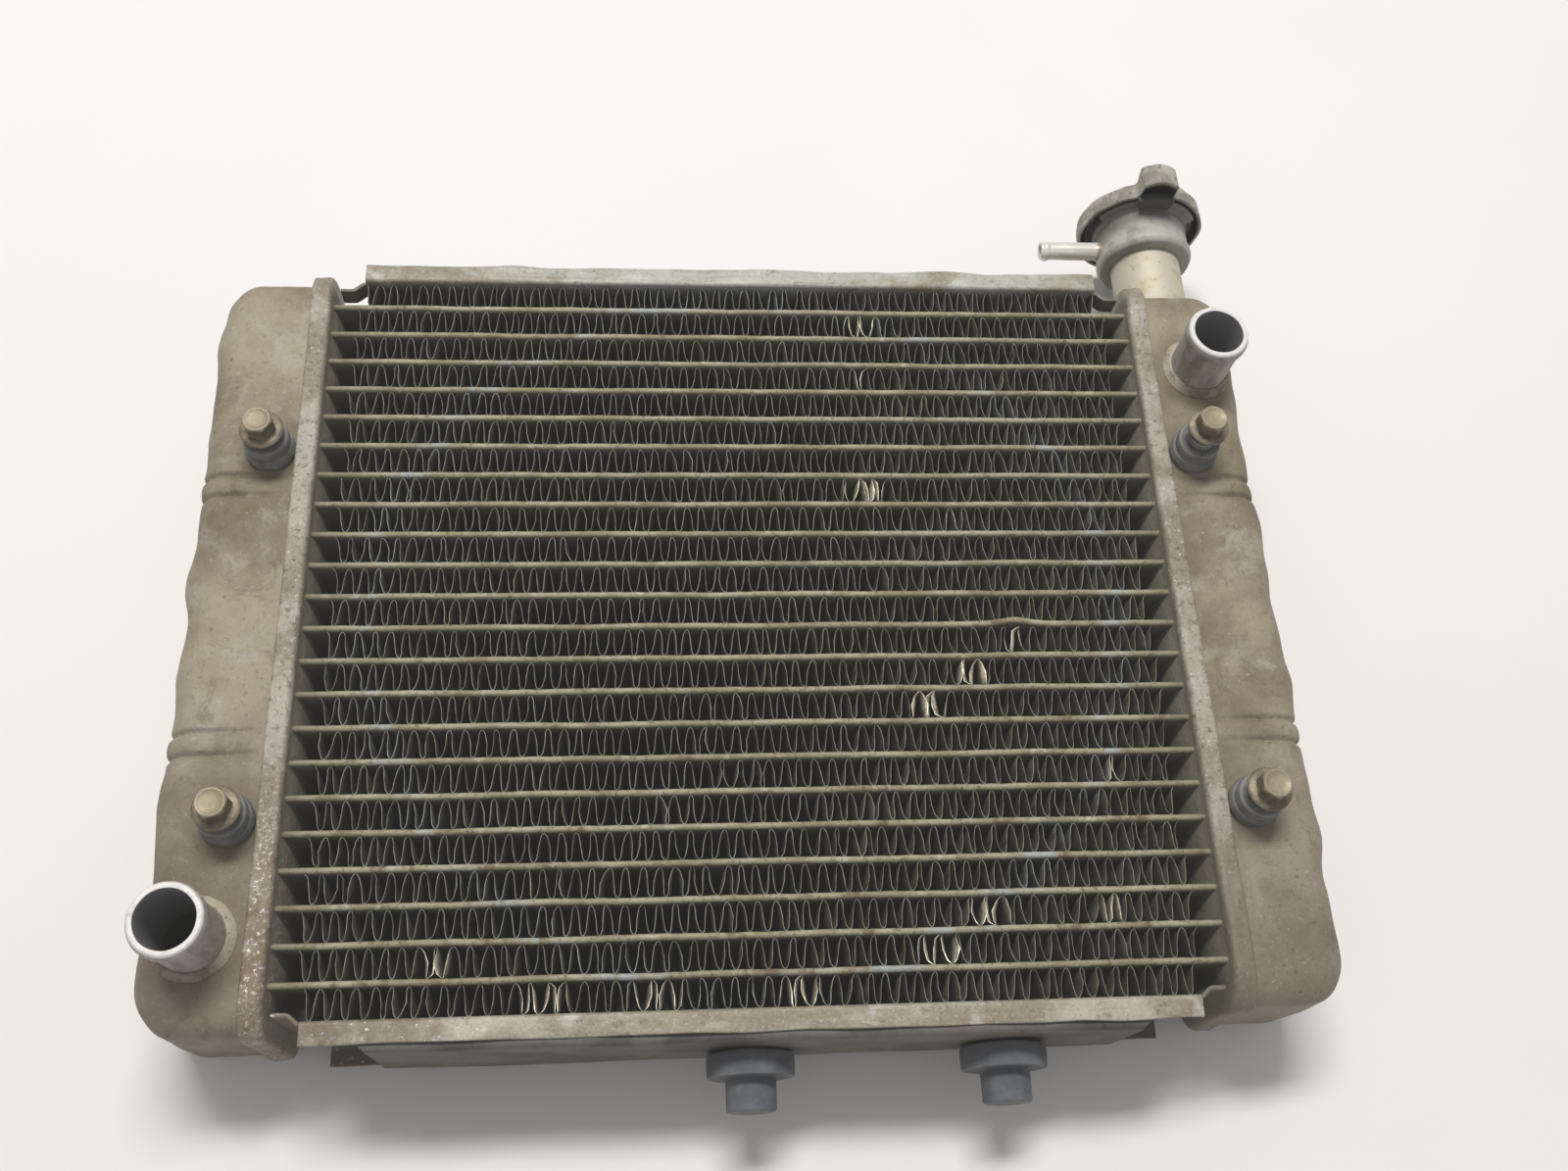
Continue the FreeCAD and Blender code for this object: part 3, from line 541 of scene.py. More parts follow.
def tube_material():
    s = Surface("limed_tube", metallic=0.15, specular=0.35)
    s.base = s.mix((162, 157, 131), (137, 129, 101), s.patches(0.4, 0.62, 0.014, 5, 0.65))
    rusty = s.both(s.patches(0.54, 0.66, 0.009, 5, 0.7), s.mask(s.axis("Y"), 0.05, -0.08))
    s.coat((104, 84, 62), rusty, 0.8)
    white = s.patches(0.57, 0.68, 0.007, 5, 0.7)
    s.coat((184, 180, 164), white, 0.8)
    specks = s.patches(0.53, 0.66, 0.0012, 4, 0.7)
    s.coat((88, 80, 64), specks, 0.75)
    away = s.math("ABSOLUTE", s.axis("X"))
    s.coat((110, 102, 84), s.mask(away, 0.112, 0.130), 0.55)
    s.coat((166, 176, 180), ring_stain(s), 0.75)
    # painted shade: deep in the core, away from the front and back faces, the tubes take a flat darker tone
    front = s.mask(s.axis("Z"), (CORE_FRONT_Z - 1.6) * MM, (CORE_FRONT_Z - 0.5) * MM)
    back = s.mask(s.axis("Z"), (TUBES_LOW[2] + 1.6) * MM, (TUBES_LOW[2] + 0.5) * MM)
    s.base = s.mix((108, 102, 90), s.base, s.math("MAXIMUM", front, back))
    return s.finished(
        s.blend(0.5, 0.8, s.noise(0.003, 4)), (s.noise(0.0011, 4, 0.7), 0.14), (s.noise(0.005, 3), 0.15),
    )


def fin_material():
    s = Surface("dusty_fin", metallic=0.2, specular=0.35)
    s.base = s.mix((128, 121, 106), (94, 88, 75), s.patches(0.4, 0.6, 0.004, 4, 0.6, stretch=(1, 1, 0.2)))
    s.coat((150, 144, 128), s.patches(0.5, 0.66, 0.03, 4), 0.6)
    # lighter front and back edges: partly dust, partly a painted highlight where the edges catch the light
    edge = s.mix((149, 148, 134), (111, 108, 93), s.patches(0.38, 0.62, 0.005, 4))
    z = s.axis("Z")
    front = s.mask(z, (FIN_HIGH[2] - 0.32) * MM, (FIN_HIGH[2] - 0.08) * MM)
    back = s.mask(z, (FIN_LOW[2] + 0.32) * MM, (FIN_LOW[2] + 0.08) * MM)
    s.coat(edge, s.math("MAXIMUM", front, back))
    near_front = s.mask(z, (FIN_HIGH[2] - 9) * MM, (FIN_HIGH[2] - 1) * MM)
    stain = s.both(ring_stain(s), near_front)
    s.coat((160, 168, 170), stain, 0.7)
    bare = s.mask(s.wear_and_shade(), 0.12, 0.6)
    streak = s.blend(0.25, 1.0, s.patches(0.36, 0.60, 0.0013, 4, 0.7, stretch=(1, 0.4, 1)))
    s.coat((250, 242, 216), bare, streak)
    s.set("Metallic", s.blend(0.2, 0.3, bare))
    return s.finished(
        s.blend(s.blend(0.45, 0.68, s.noise(0.004, 3)), 0.34, bare), (s.noise(0.0012, 3), 0.05),
    )


def side_plate_material(name, clean, dirt, amount):
    s = Surface(name, metallic=0.15, specular=0.4)
    clouds = s.noise(0.026, 7, 0.70, 0.5, stretch=(0.5, 1, 1))
    s.base = s.mix(clean, dirt, s.mask(clouds, 0.60 - amount, 0.74 - amount))
    spots = s.patches(0.54, 0.66, 0.0034, 6, 0.75)
    s.coat((100, 91, 75), spots, 0.6)
    pale = s.patches(0.56, 0.68, 0.010, 5, 0.7)
    s.coat((194, 194, 186), pale, 0.5)
    lines = s.noise(0.0012, 3, 0.6, stretch=(0.04, 1, 1))
    s.coat((116, 110, 97), s.mask(lines, 0.52, 0.72), 0.4)
    s.coat((96, 91, 82), s.wear_and_shade(), 0.8)
    grain = s.noise(0.0010, 4, 0.75)
    s.coat((104, 97, 80), s.mask(grain, 0.55, 0.70), 0.55)
    s.coat((204, 202, 188), s.mask(grain, 0.45, 0.32), 0.35)
    # painted shade: the bottom side plate is darkened behind its front few millimetres
    below_web = s.mask(s.axis("Y"), -0.098, -0.101)
    underside_shade = s.both(below_web, s.mask(s.axis("Z"), 0.0455, 0.0430))
    s.coat((86, 81, 73), underside_shade, 0.9)
    wet_end = s.both(s.mask(s.axis("X"), -0.05, -0.11), s.mask(s.axis("Y"), 0.0, -0.1))
    stained = s.both(wet_end, s.patches(0.36, 0.58, 0.012, 4))
    s.coat((104, 88, 66), stained, 0.75)
    glint = s.both(wet_end, s.patches(0.60, 0.67, 0.0016, 4, 0.7))
    s.coat((206, 210, 222), glint, 0.55)
    return s.finished(
        s.blend(s.blend(0.40, 0.70, s.noise(0.006, 4)), 0.15, glint), (lines, 0.05),
        (s.noise(0.0021, 4, 0.7), 0.18),
    )


def bracket_material():
    s = Surface("dull_bracket_and_shade", metallic=0.2, specular=0.3)
    # the dark grey is partly the bracket's dull steel and partly painted shade under the bottom plate
    s.base = s.mix((104, 99, 93), (80, 76, 71), s.patches(0.4, 0.62, 0.02, 5))
    s.coat((64, 59, 52), s.patches(0.56, 0.7, 0.003, 5, 0.7), 0.7)
    return s.finished(s.blend(0.45, 0.7, s.noise(0.008, 3)), (s.noise(0.0025, 4, 0.7), 0.12))


def pipe_material():
    s = Surface("worn_pipe", metallic=0.1, specular=0.4)
    streaks = s.patches(0.38, 0.66, 0.004, 5, 0.65, stretch=(1, 1, 0.25))
    s.base = s.mix((168, 163, 154), (138, 132, 122), streaks)
    chalk = s.patches(0.53, 0.66, 0.0045, 5, 0.7)
    s.coat((188, 186, 178), chalk, 0.55)
    dark = s.patches(0.55, 0.68, 0.0013, 4, 0.7)
    s.coat((90, 87, 80), dark, 0.5)
    lip = s.mask(s.wear_and_shade(), 0.35, 0.65)
    clean = s.mix((216, 213, 208), (194, 191, 186), s.patches(0.50, 0.66, 0.0022, 5, 0.7))
    s.coat(clean, lip)
    s.coat((136, 134, 137), s.mask(s.wear_and_shade(), -0.2, -0.8))
    return s.finished(
        s.blend(s.blend(0.46, 0.70, s.noise(0.004, 4)), 0.44, lip), (s.noise(0.0011, 4, 0.7), 0.08),
        (s.noise(0.004, 4), 0.12),
    )


def weld_material():
    s = Surface("crusted_weld", metallic=0.1, specular=0.4)
    s.base = s.mix((150, 141, 124), (122, 113, 97), s.patches(0.42, 0.58, 0.003, 5, 0.7))
    crust = s.both(s.wear_and_shade(), s.patches(0.36, 0.50, 0.006, 5, 0.7))
    s.coat((192, 185, 161), crust, 0.75)
    s.coat((84, 78, 66), s.patches(0.6, 0.7, 0.0014, 4), 0.6)
    return s.finished(s.blend(0.5, 0.85, s.noise(0.002, 4)), (s.noise(0.0011, 5, 0.75), 0.35))


def bolt_material():
    s = Surface("bronzed_bolt", metallic=0.3, specular=0.4)
    s.base = s.mix((134, 124, 102), (102, 93, 77), s.patches(0.38, 0.6, 0.005, 5))
    s.coat((66, 60, 50), s.patches(0.55, 0.68, 0.0016, 5, 0.7), 0.7)
    top = s.mask(s.wear_and_shade(), 0.2, 0.8)
    s.coat((156, 146, 122), top, 0.7)
    return s.finished(
        s.blend(0.36, 0.62, s.noise(0.0025, 4)), (s.noise(0.0009, 4, 0.7), 0.07),
        (s.noise(0.003, 3), 0.10),
    )


def rubber_material(name, clean, dusty):
    s = Surface(name, specular=0.35)
    s.base = s.mix(clean, dusty, s.patches(0.38, 0.62, 0.008, 5, 0.65))
    dust = s.patches(0.55, 0.72, 0.0024, 5, 0.7)
    s.coat((132, 130, 124), dust, 0.25)
    s.coat((140, 139, 134), s.wear_and_shade(), 0.7)
    return s.finished(
        s.blend(0.55, 0.82, s.noise(0.003, 4)), (s.noise(0.0008, 3), 0.04), (s.noise(0.004, 3), 0.12),
    )


def neck_material(name, clean, stain, amount):
    s = Surface(name, metallic=0.3, specular=0.45)
    s.base = s.mix(clean, stain, s.patches(0.66 - amount, 0.86 - amount, 0.010, 5, 0.62))
    s.coat((150, 138, 112), s.patches(0.58, 0.7, 0.003, 5, 0.7), 0.5)
    specks = s.mask(s.cells(0.0035), 0.14, 0.06)
    s.coat((120, 108, 84), specks, 0.5)
    # dark where the mesh's mark says: dirt at the neck pipe's seam, painted shade on the cup under the cap
    # and at its rolled foot
    s.coat((92, 88, 78), s.wear_and_shade(), 0.8)
    return s.finished(
        s.blend(0.50, 0.74, s.noise(0.005, 4)), (s.noise(0.0012, 4, 0.7), 0.08),
        (s.noise(0.006, 3), 0.12),
    )


def spout_material():
    s = Surface("bright_spout", metallic=0.2, specular=0.5)
    s.base = s.mix((234, 234, 228), (208, 205, 194), s.patches(0.42, 0.64, 0.004, 4, stretch=(0.3, 1, 1)))
    s.coat((120, 96, 66), s.wear_and_shade(), 0.85)
    return s.finished(
        s.blend(0.30, 0.46, s.noise(0.003, 4)), (s.noise(0.0011, 3, stretch=(0.1, 1, 1)), 0.03),
    )


def cap_material():
    s = Surface("dirty_and_shaded_cap", metallic=0.1, specular=0.35)
    s.base = s.mix((172, 169, 158), (132, 128, 117), s.patches(0.42, 0.62, 0.009, 6, 0.66))
    s.coat((72, 68, 60), s.patches(0.54, 0.68, 0.0026, 5, 0.72), 0.75)
    s.coat((196, 190, 172), s.patches(0.62, 0.74, 0.005, 4), 0.6)
    # painted shade: the inside of the cap and its lugs are laid nearly black
    s.coat((60, 60, 62), s.wear_and_shade(), 0.92)
    return s.finished(
        s.blend(0.48, 0.78, s.noise(0.004, 4)), (s.noise(0.0012, 4, 0.7), 0.08),
        (s.noise(0.005, 4), 0.18),
    )


def plain_metal(name, light, dark, metallic, low, high, grain):
    """Metal of the small pieces that mostly hide: two tones, with grain and wear."""
    s = Surface(name, metallic=metallic, specular=0.5)
    s.base = s.mix(light, dark, s.patches(0.40, 0.66, 0.004, 5, 0.65))
    s.coat(dark, s.patches(0.58, 0.72, grain, 4, 0.7), 0.6)
    return s.finished(s.blend(low, high, s.noise(0.002, 4)), (s.noise(grain, 4, 0.7), 0.04))


def floor_material():
    s = Surface("pale_floor", specular=0.25)
    s.base = s.mix((231, 229, 226), (229, 227, 224), s.patches(0.4, 0.6, 0.25, 3))
    return s.finished(s.blend(0.5, 0.6, s.noise(0.05, 3)), (s.noise(0.004, 3), 0.02))


TANK_LOOK = tank_material()
HEADER_LOOK = header_material()
TUBE_LOOK = tube_material()
FIN_LOOK = fin_material()
TOP_PLATE_LOOK = side_plate_material("pale_side_plate", (166, 167, 158), (134, 126, 106), 0.14)
LOW_PLATE_LOOK = side_plate_material("stained_and_shaded_side_plate", (164, 160, 146), (136, 126, 106), 0.17)
BRACKET_LOOK = bracket_material()
PIPE_LOOK = pipe_material()
WELD_LOOK = weld_material()
BOLT_LOOK = bolt_material()
PAD_LOOK = rubber_material("pad_rubber", (82, 85, 90), (98, 100, 104))
GROMMET_LOOK = rubber_material("grommet_rubber", (96, 98, 100), (124, 123, 119))
NECK_PIPE_LOOK = neck_material("cream_neck", (197, 191, 171), (182, 168, 132), 0.17)
CUP_LOOK = neck_material("grey_cup", (182, 181, 173), (150, 147, 137), 0.18)
SPOUT_LOOK = spout_material()
CAP_LOOK = cap_material()
STEEL_LOOK = plain_metal("dull_steel", (178, 177, 174), (120, 118, 114), 0.8, 0.30, 0.50, 0.0012)
DARK_STEEL_LOOK = plain_metal("dark_steel", (104, 102, 98), (74, 72, 68), 0.4, 0.45, 0.65, 0.0012)
BRASS_LOOK = plain_metal("dull_brass", (196, 168, 104), (140, 116, 70), 0.85, 0.28, 0.46, 0.0012)
SEAL_LOOK = plain_metal("black_seal", (34, 34, 35), (22, 22, 23), 0.0, 0.55, 0.75, 0.0008)


# ================================================================ tubes and fins
def tube_row_y(row):
    return TUBES_LOW[1] + TUBE_THICKNESS / 2 + row * TUBE_PITCH


def tube_section(thickness, depth_inset, points_round):
    """Outline of a flat tube in (y, z), round at the front and the back."""
    radius = thickness / 2
    angles = np.linspace(0, math.pi, points_round)
    front_z = CORE_FRONT_Z - depth_inset - radius
    back_z = TUBES_LOW[2] + depth_inset + radius
    front = np.stack([radius * np.cos(angles), front_z + radius * np.sin(angles)], -1)
    back = np.stack([-radius * np.cos(angles), back_z - radius * np.sin(angles)], -1)
    return densified(np.concatenate([front, back]), 7.0)


def flat_tubes():
    """Hollow flat tubes, each bowed a little, and one with a dent."""
    shells = Shells()
    stations = spread(TUBES_LOW[0], TUBES_HIGH[0], 1.9)
    outer = tube_section(TUBE_THICKNESS, 0.0, 7)
    inner = tube_section(TUBE_THICKNESS - 2 * TUBE_WALL, TUBE_WALL, 7)
    for row in range(TUBE_COUNT):
        y_row = tube_row_y(row)

        def settled(x, y, z, row=row, y_row=y_row):
            free = 1 - np.abs((x - CORE_MIDDLE[0]) / (TUBES_HIGH[0] - CORE_MIDDLE[0])) ** 6
            bow = 0.07 * ripple(x[..., None], 60, 100 + row) + 0.03 * ripple(x[..., None], 9, 130 + row)
            if row == DENTED_TUBE["row"]:
                share = (x - DENTED_TUBE["x"]) / DENTED_TUBE["half_length"]
                bow = bow + DENTED_TUBE["depth"] * np.exp(-share ** 2)
            near = np.exp(-np.minimum(CORE_FRONT_Z - z, z - TUBES_LOW[2]) / 9)
            lift = 0.08 * ripple(x[..., None], 30, 160 + row) * near
            return x, y + y_row + free * bow * near, z + free * lift

        points = swept_along_x(outer, stations, settled)[0]
        passage = swept_along_x(inner, stations, settled)[0]
        side = grid_faces(len(stations), len(outer), wrap_columns=True)
        inside = side[:, ::-1] + len(points)
        around = np.arange(len(outer))
        beside = (around + 1) % len(outer)
        last = (len(stations) - 1) * len(outer)
        mouth_low = np.stack([around, around + len(points), beside + len(points), beside], -1)
        mouth_high = mouth_low[:, ::-1] + last
        shells.add(np.concatenate([points, passage]), [side, inside, mouth_low, mouth_high])
    return shells.build("radiator_tubes", "flat_tubes", TUBE_LOOK, smooth_deg=50)


def fin_depths():
    """Depths of a fin's rows below its front edge: close at both faces, where louvres show."""
    depth = FIN_HIGH[2] - FIN_LOW[2]
    louvred = np.arange(0.9, LOUVRED_DEPTH, LOUVRE_PITCH / 2)
    middle = np.linspace(louvred[-1], depth - louvred[-1], 7)[1:-1]
    return np.concatenate([[0.0, 0.3], louvred, middle, depth - louvred[::-1], [depth - 0.3, depth]])


def louvre_side():
    """Which side each fin row leans to, so that the rows make slats."""
    depths = fin_depths()
    side = np.where(np.arange(len(depths)) % 2, 1.0, -1.0)
    depth = depths[-1]
    inner = smooth_step(0.6, 1.6, depths) * smooth_step(0.6, 1.6, depth - depths)
    middle = (depths > LOUVRED_DEPTH) & (depths < depth - LOUVRED_DEPTH)
    return side * inner * np.where(middle, 0.0, 1.0)


def fin_columns(periods):
    """Place in the wave of each column of a fin: whole numbers are upper crests."""
    in_period = np.array([0.0, 0.05, 0.12, 0.25, 0.38, 0.45, 0.5, 0.55, 0.62, 0.75, 0.88, 0.95])
    return np.concatenate([period + in_period for period in range(periods)] + [[periods]])


def fin_sheet(x, y, z):
    """Closed shell of thin sheet on both sides of a grid of points: the points and their faces."""
    slope_x, slope_y = np.gradient(x, axis=1), np.gradient(y, axis=1)
    length = np.hypot(slope_x, slope_y) + 1e-9
    side_x, side_y = -slope_y / length * FIN_SHEET / 2, slope_x / length * FIN_SHEET / 2
    one = np.stack([x + side_x, y + side_y, z], -1)
    other = np.stack([x - side_x, y - side_y, z], -1)
    rows, columns = x.shape
    upper = grid_faces(rows, columns)
    offset = rows * columns
    lower = upper[:, ::-1] + offset
    rim = np.concatenate([
        np.arange(columns),
        np.arange(1, rows) * columns + columns - 1,
        (rows - 1) * columns + np.arange(columns - 2, -1, -1),
        np.arange(rows - 2, 0, -1) * columns,
    ])
    after = np.roll(rim, -1)
    border = np.stack([after, rim, rim + offset, after + offset], -1)
    return np.concatenate([one.reshape(-1, 3), other.reshape(-1, 3)]), [upper, lower, border]


def knocked_over(x, z, across, middle_y, z_depth, flank, lean):
    """Folds a fin's front edge at the spots in BENT_FINS: the new x and z, and how bare it is."""
    bare = np.zeros_like(x)
    for spot_x, spot_y, reach, strength in BENT_FINS:
        if abs(spot_y - middle_y) > TUBE_PITCH / 2:
            continue
        here = np.exp(-((across - spot_x) / reach) ** 4)[None, :]
        folded = here * np.exp(-z_depth / 1.5)
        x = x + strength * folded * lean * flank
        z = z - strength * 0.30 * here * np.exp(-z_depth / 2.5) * flank
        scraped = here * min(1.0, strength / 1.6) * np.exp(-z_depth / 4.0) * (0.3 + 0.7 * flank)
        bare = np.maximum(bare, scraped)
    return x, z, bare


def corrugated_fin(row, node):
    """One fin strip: a rounded wave of thin sheet with slats, bent and crushed at its edges."""
    low, high = box_mm(node)
    random = np.random.default_rng(500 + row)
    periods = OUTER_FIN_PERIODS if row in (0, TUBE_COUNT) else FIN_PERIODS
    wave = fin_columns(periods)
    depths = fin_depths()
    total = depths[-1]
    phase = random.uniform(-0.5, 0.5)
    period = (high[0] - low[0] - 0.5) / periods
    height = (high[1] - low[1]) / 2 - FIN_SHEET / 2
    turn = 2 * math.pi * wave
    across = low[0] + 0.25 + period * wave + 0.27 * np.sin(2 * turn)
    up = np.cos(turn) * (1 - 0.10 * np.sin(turn) ** 2)

    crests = np.arange(2 * periods + 1) / 2
    settled = np.interp(wave, crests, random.normal(0, 0.13, len(crests)))
    slow = 0.30 * ripple(across[:, None], 38, 700 + row)
    knocked = np.interp(wave, crests, random.normal(0, 0.27, len(crests)))
    knocked_back = np.interp(wave, crests, random.normal(0, 0.30, len(crests)))
    webs = np.arange(2 * periods) / 2 + 0.25
    belly = np.interp(wave, webs, random.normal(0, 0.34, len(webs))) * (1 - up ** 2)

    z_depth = depths[:, None]
    front = np.exp(-z_depth / 4.5)
    back = np.exp(-(total - z_depth) / 4.5)
    x = across + settled + slow * 0.6 + (knocked + belly) * front + knocked_back * back
    x = x + 0.10 * phase * np.sin(z_depth / 6)
    flank = 1 - np.abs(up) ** 6
    x = x + 0.17 * louvre_side()[:, None] * flank
    y = np.repeat(((low[1] + high[1]) / 2 + height * up)[None, :], len(depths), 0)
    z = high[2] - np.repeat(z_depth, len(wave), 1)
    z = z - 0.22 * front * (1 + ripple(across[:, None], 6, 900 + row))[None, :] * flank

    leans = random.choice((-1.0, 1.0), len(webs)) * random.uniform(0.6, 1.0, len(webs))
    lean = np.interp(wave, webs, leans)
    x, z, bare = knocked_over(x, z, across, (low[1] + high[1]) / 2, z_depth, flank, lean)
    low_rows = 1 - smooth_step(2, 12, row)
    loose = random.random(len(webs)) < 0.04 + 0.18 * low_rows
    torn = np.interp(wave, webs, loose * random.uniform(0.4, 1.0, len(webs))) * flank
    x = x + 0.75 * torn * np.exp(-z_depth / 2.5) * lean
    bare = np.maximum(bare, 0.26 * torn * front)

    points, faces = fin_sheet(x, y, z)
    shells = Shells().add(points, faces, np.concatenate([bare.ravel(), bare.ravel()]))
    return shells.build("corrugated_" + node, node, FIN_LOOK, smooth_deg=64)


# ================================================================ headers
def header_ring_frame(low, high):
    """Points, outward normals and centre-line points of the header's outline in (y, z)."""
    half_y, half_z = (high[1] - low[1]) / 2, (high[2] - low[2]) / 2
    straight_y, straight_z = half_y - RIM_CORNER, half_z - RIM_CORNER
    middle_y, middle_z = (low[1] + high[1]) / 2, (low[2] + high[2]) / 2
    points, normals = [], []
    quarter = np.linspace(0, math.pi / 2, 11)
    corners = ((1, 1, 0), (-1, 1, 1), (-1, -1, 2), (1, -1, 3))
    for sign_y, sign_z, turn in corners:
        for angle in quarter + turn * math.pi / 2:
            normal = np.array([math.cos(angle), math.sin(angle)])
            points.append(np.array([sign_y * straight_y, sign_z * straight_z]) + RIM_CORNER * normal)
            normals.append(normal)
    outline, normals = np.array(points), np.array(normals)
    dense, dense_normals = [], []
    for index in range(len(outline)):
        after = (index + 1) % len(outline)
        parts = max(1, int(np.linalg.norm(outline[after] - outline[index]) / 1.1))
        for part in range(parts):
            share = part / parts
            dense.append(outline[index] * (1 - share) + outline[after] * share)
            dense_normals.append(normals[index] * (1 - share) + normals[after] * share)
    dense, dense_normals = np.array(dense), np.array(dense_normals)
    centre = np.zeros_like(dense)
    centre[:, 0] = np.clip(dense[:, 0], -(half_y - half_z), half_y - half_z)
    shift = np.array([middle_y, middle_z])
    return dense + shift, dense_normals, centre + shift


def header(side, node):
    """Tube plate with a rolled rim round the tank and a crown that bulges to the core."""
    low, high = box_mm(node)
    sign = 1 if side == "right" else -1
    rim_out, crown_end = (high[0], low[0]) if sign > 0 else (low[0], high[0])
    rim_in = rim_out - sign * RIM_WIDTH
    crown_top = abs(rim_in - crown_end)
    outline, normals, centre = header_ring_frame(low, high)
    plate_edge = outline - normals * CROWN_INSET

    rings = []
    for share in np.linspace(1.0, 0.0, 12):
        bulge = crown_top * (1 - (1 - share) ** 2.2)
        rings.append((-bulge, plate_edge * (1 - share) + centre * share, 1.0))
    rim = rounded([
        (0.0, -CROWN_INSET),
        (0.0, 0.0, 2.7),
        (RIM_WIDTH, 0.12, 1.5),
        (RIM_WIDTH, -RIM_WALL, 0.3),
        (PLATE_WALL, -RIM_WALL, 0.3),
        (PLATE_WALL, -CROWN_INSET),
    ], closed=False, steps=5)
    for along, out in densified(rim, 1.3, closed=False)[1:]:
        deep = float(smooth_step(0.6, 2.4, -out)) * (1.0 if along < 1.0 else 0.0)
        rings.append((along, outline + normals * out, deep))
    for share in np.linspace(0.0, 1.0, 8)[1:]:
        bulge = crown_top * (1 - (1 - share) ** 2.2)
        rings.append((PLATE_WALL - bulge, plate_edge * (1 - share) + centre * share, 1.0))

    columns = len(outline)
    points = np.empty((len(rings), columns, 3))
    # the deep rings, the crown and the rim's inner wall, carry the painted shade
    wear_and_shade = np.empty((len(rings), columns))
    for index, (along, flat, deep) in enumerate(rings):
        points[index, :, 0] = rim_in + sign * along
        points[index, :, 1:] = flat
        wear_and_shade[index] = deep
    wobble = 0.16 * ripple(points, 26, 31 if sign > 0 else 37) + 0.07 * ripple(points, 5, 41)
    points[..., 1:] += (wobble * (1 - wear_and_shade))[..., None] * normals[None]
    away = points[..., 1] - (low[1] + high[1]) / 2
    half_y = (high[1] - low[1]) / 2
    upper_end, lower_end = (smooth_step(half_y - 12, half_y, way * away) for way in (1, -1))
    points[..., 1] += HEADER_RISE * upper_end - HEADER_DROP * lower_end
    front = smooth_step(high[2] - 12, high[2] - 1, points[..., 2])
    points[..., 2] += 1.1 * front * smooth_step(half_y - 16, half_y - 6, away) * (1 - wear_and_shade)
    faces = grid_faces(len(rings), columns, wrap_columns=True)
    shells = Shells().add(points, [faces], wear_and_shade.ravel())
    return shells.build(node + "_plate", node, HEADER_LOOK, smooth_deg=50, weld=True)


# ================================================================ tanks
def tank_surface(length_x, half_y, half_z, inset, bead_y, seed, detailed):
    """Skin of a tank, open at x = 0, as a grid of points."""
    section = np.array([(0, half_z), (length_x, half_z), (length_x, -half_z), (0, -half_z)])
    section = densified(section, 1.25, closed=False)
    ends = np.linspace(0.0, 1.0, 14) ** 0.8
    along = [y for y in spread(-half_y, half_y, 1.5) if all(abs(y - bead) > 6.8 for bead in bead_y)]
    along += [y for bead in bead_y for y in spread(bead - 6.5, bead + 6.5, 0.36)]
    rows = [(-half_y, share) for share in ends[:-1]]
    rows += [(y, 1.0) for y in sorted(along)]
    rows += [(half_y, share) for share in ends[:-1][::-1]]
    grid = np.array([[(x * share, y, z * share) for x, z in section] for y, share in rows])

    grid *= ((length_x - inset) / length_x, (half_y - inset) / half_y, (half_z - inset) / half_z)
    outer_x, edge, corner = length_x - inset, TANK_EDGE - inset, TANK_CORNER - inset
    half_y, half_z = half_y - inset, half_z - inset
    plan = grid[..., :2].copy()
    plan[..., 0] = np.minimum(plan[..., 0], outer_x - corner)
    plan[..., 1] = np.clip(plan[..., 1], -(half_y - corner), half_y - corner)
    away = grid[..., :2] - plan
    reach = np.linalg.norm(away, axis=-1)
    keep = np.minimum(1.0, (corner - edge) / np.maximum(reach, 1e-9))
    inner = grid.copy()
    inner[..., :2] = plan + away * keep[..., None]
    inner[..., 2] = np.clip(grid[..., 2], -(half_z - edge), half_z - edge)
    ahead = grid - inner
    normal = ahead / np.maximum(np.linalg.norm(ahead, axis=-1), 1e-6)[..., None]
    points = inner + normal * edge
    if detailed:
        points = points + normal * tank_relief(points, outer_x, bead_y, seed)[..., None]
    return fuller_low_end(points, half_y)


def fuller_low_end(points, half_y):
    """Lets the lower end wall of the tank bulge."""
    near_end = smooth_step(half_y - 22, half_y - 2, -points[..., 1])
    points[..., 1] -= near_end * LOW_END_BULGE
    return points


def tank_relief(points, outer_x, bead_y, seed):
    """How far the pressed skin stands off its plain shape."""
    x, y = points[..., 0], points[..., 1]
    free = smooth_step(4.5, 8.0, x)
    relief = 0.30 * ripple(y[..., None], 52, seed) * smooth_step(outer_x - 12, outer_x - 2, x)
    relief = relief + 0.24 * ripple(y[..., None], 23, seed + 1) * smooth_step(outer_x - 10, outer_x - 1, x)
    relief = relief + 0.16 * ripple(points, 28, seed + 2) + 0.06 * ripple(points, 9, seed + 3)
    strong = 0.30 + 0.70 * smooth_step(8, 22, x)
    for bead in bead_y:
        off = y - bead
        for place in (-BEAD_GROOVE_OFFSET, BEAD_GROOVE_OFFSET):
            relief = relief - 1.15 * strong * np.exp(-((off - place) / 0.85) ** 2)
        relief = relief + 0.35 * strong * np.exp(-(off / 2.0) ** 2)
    return relief * free


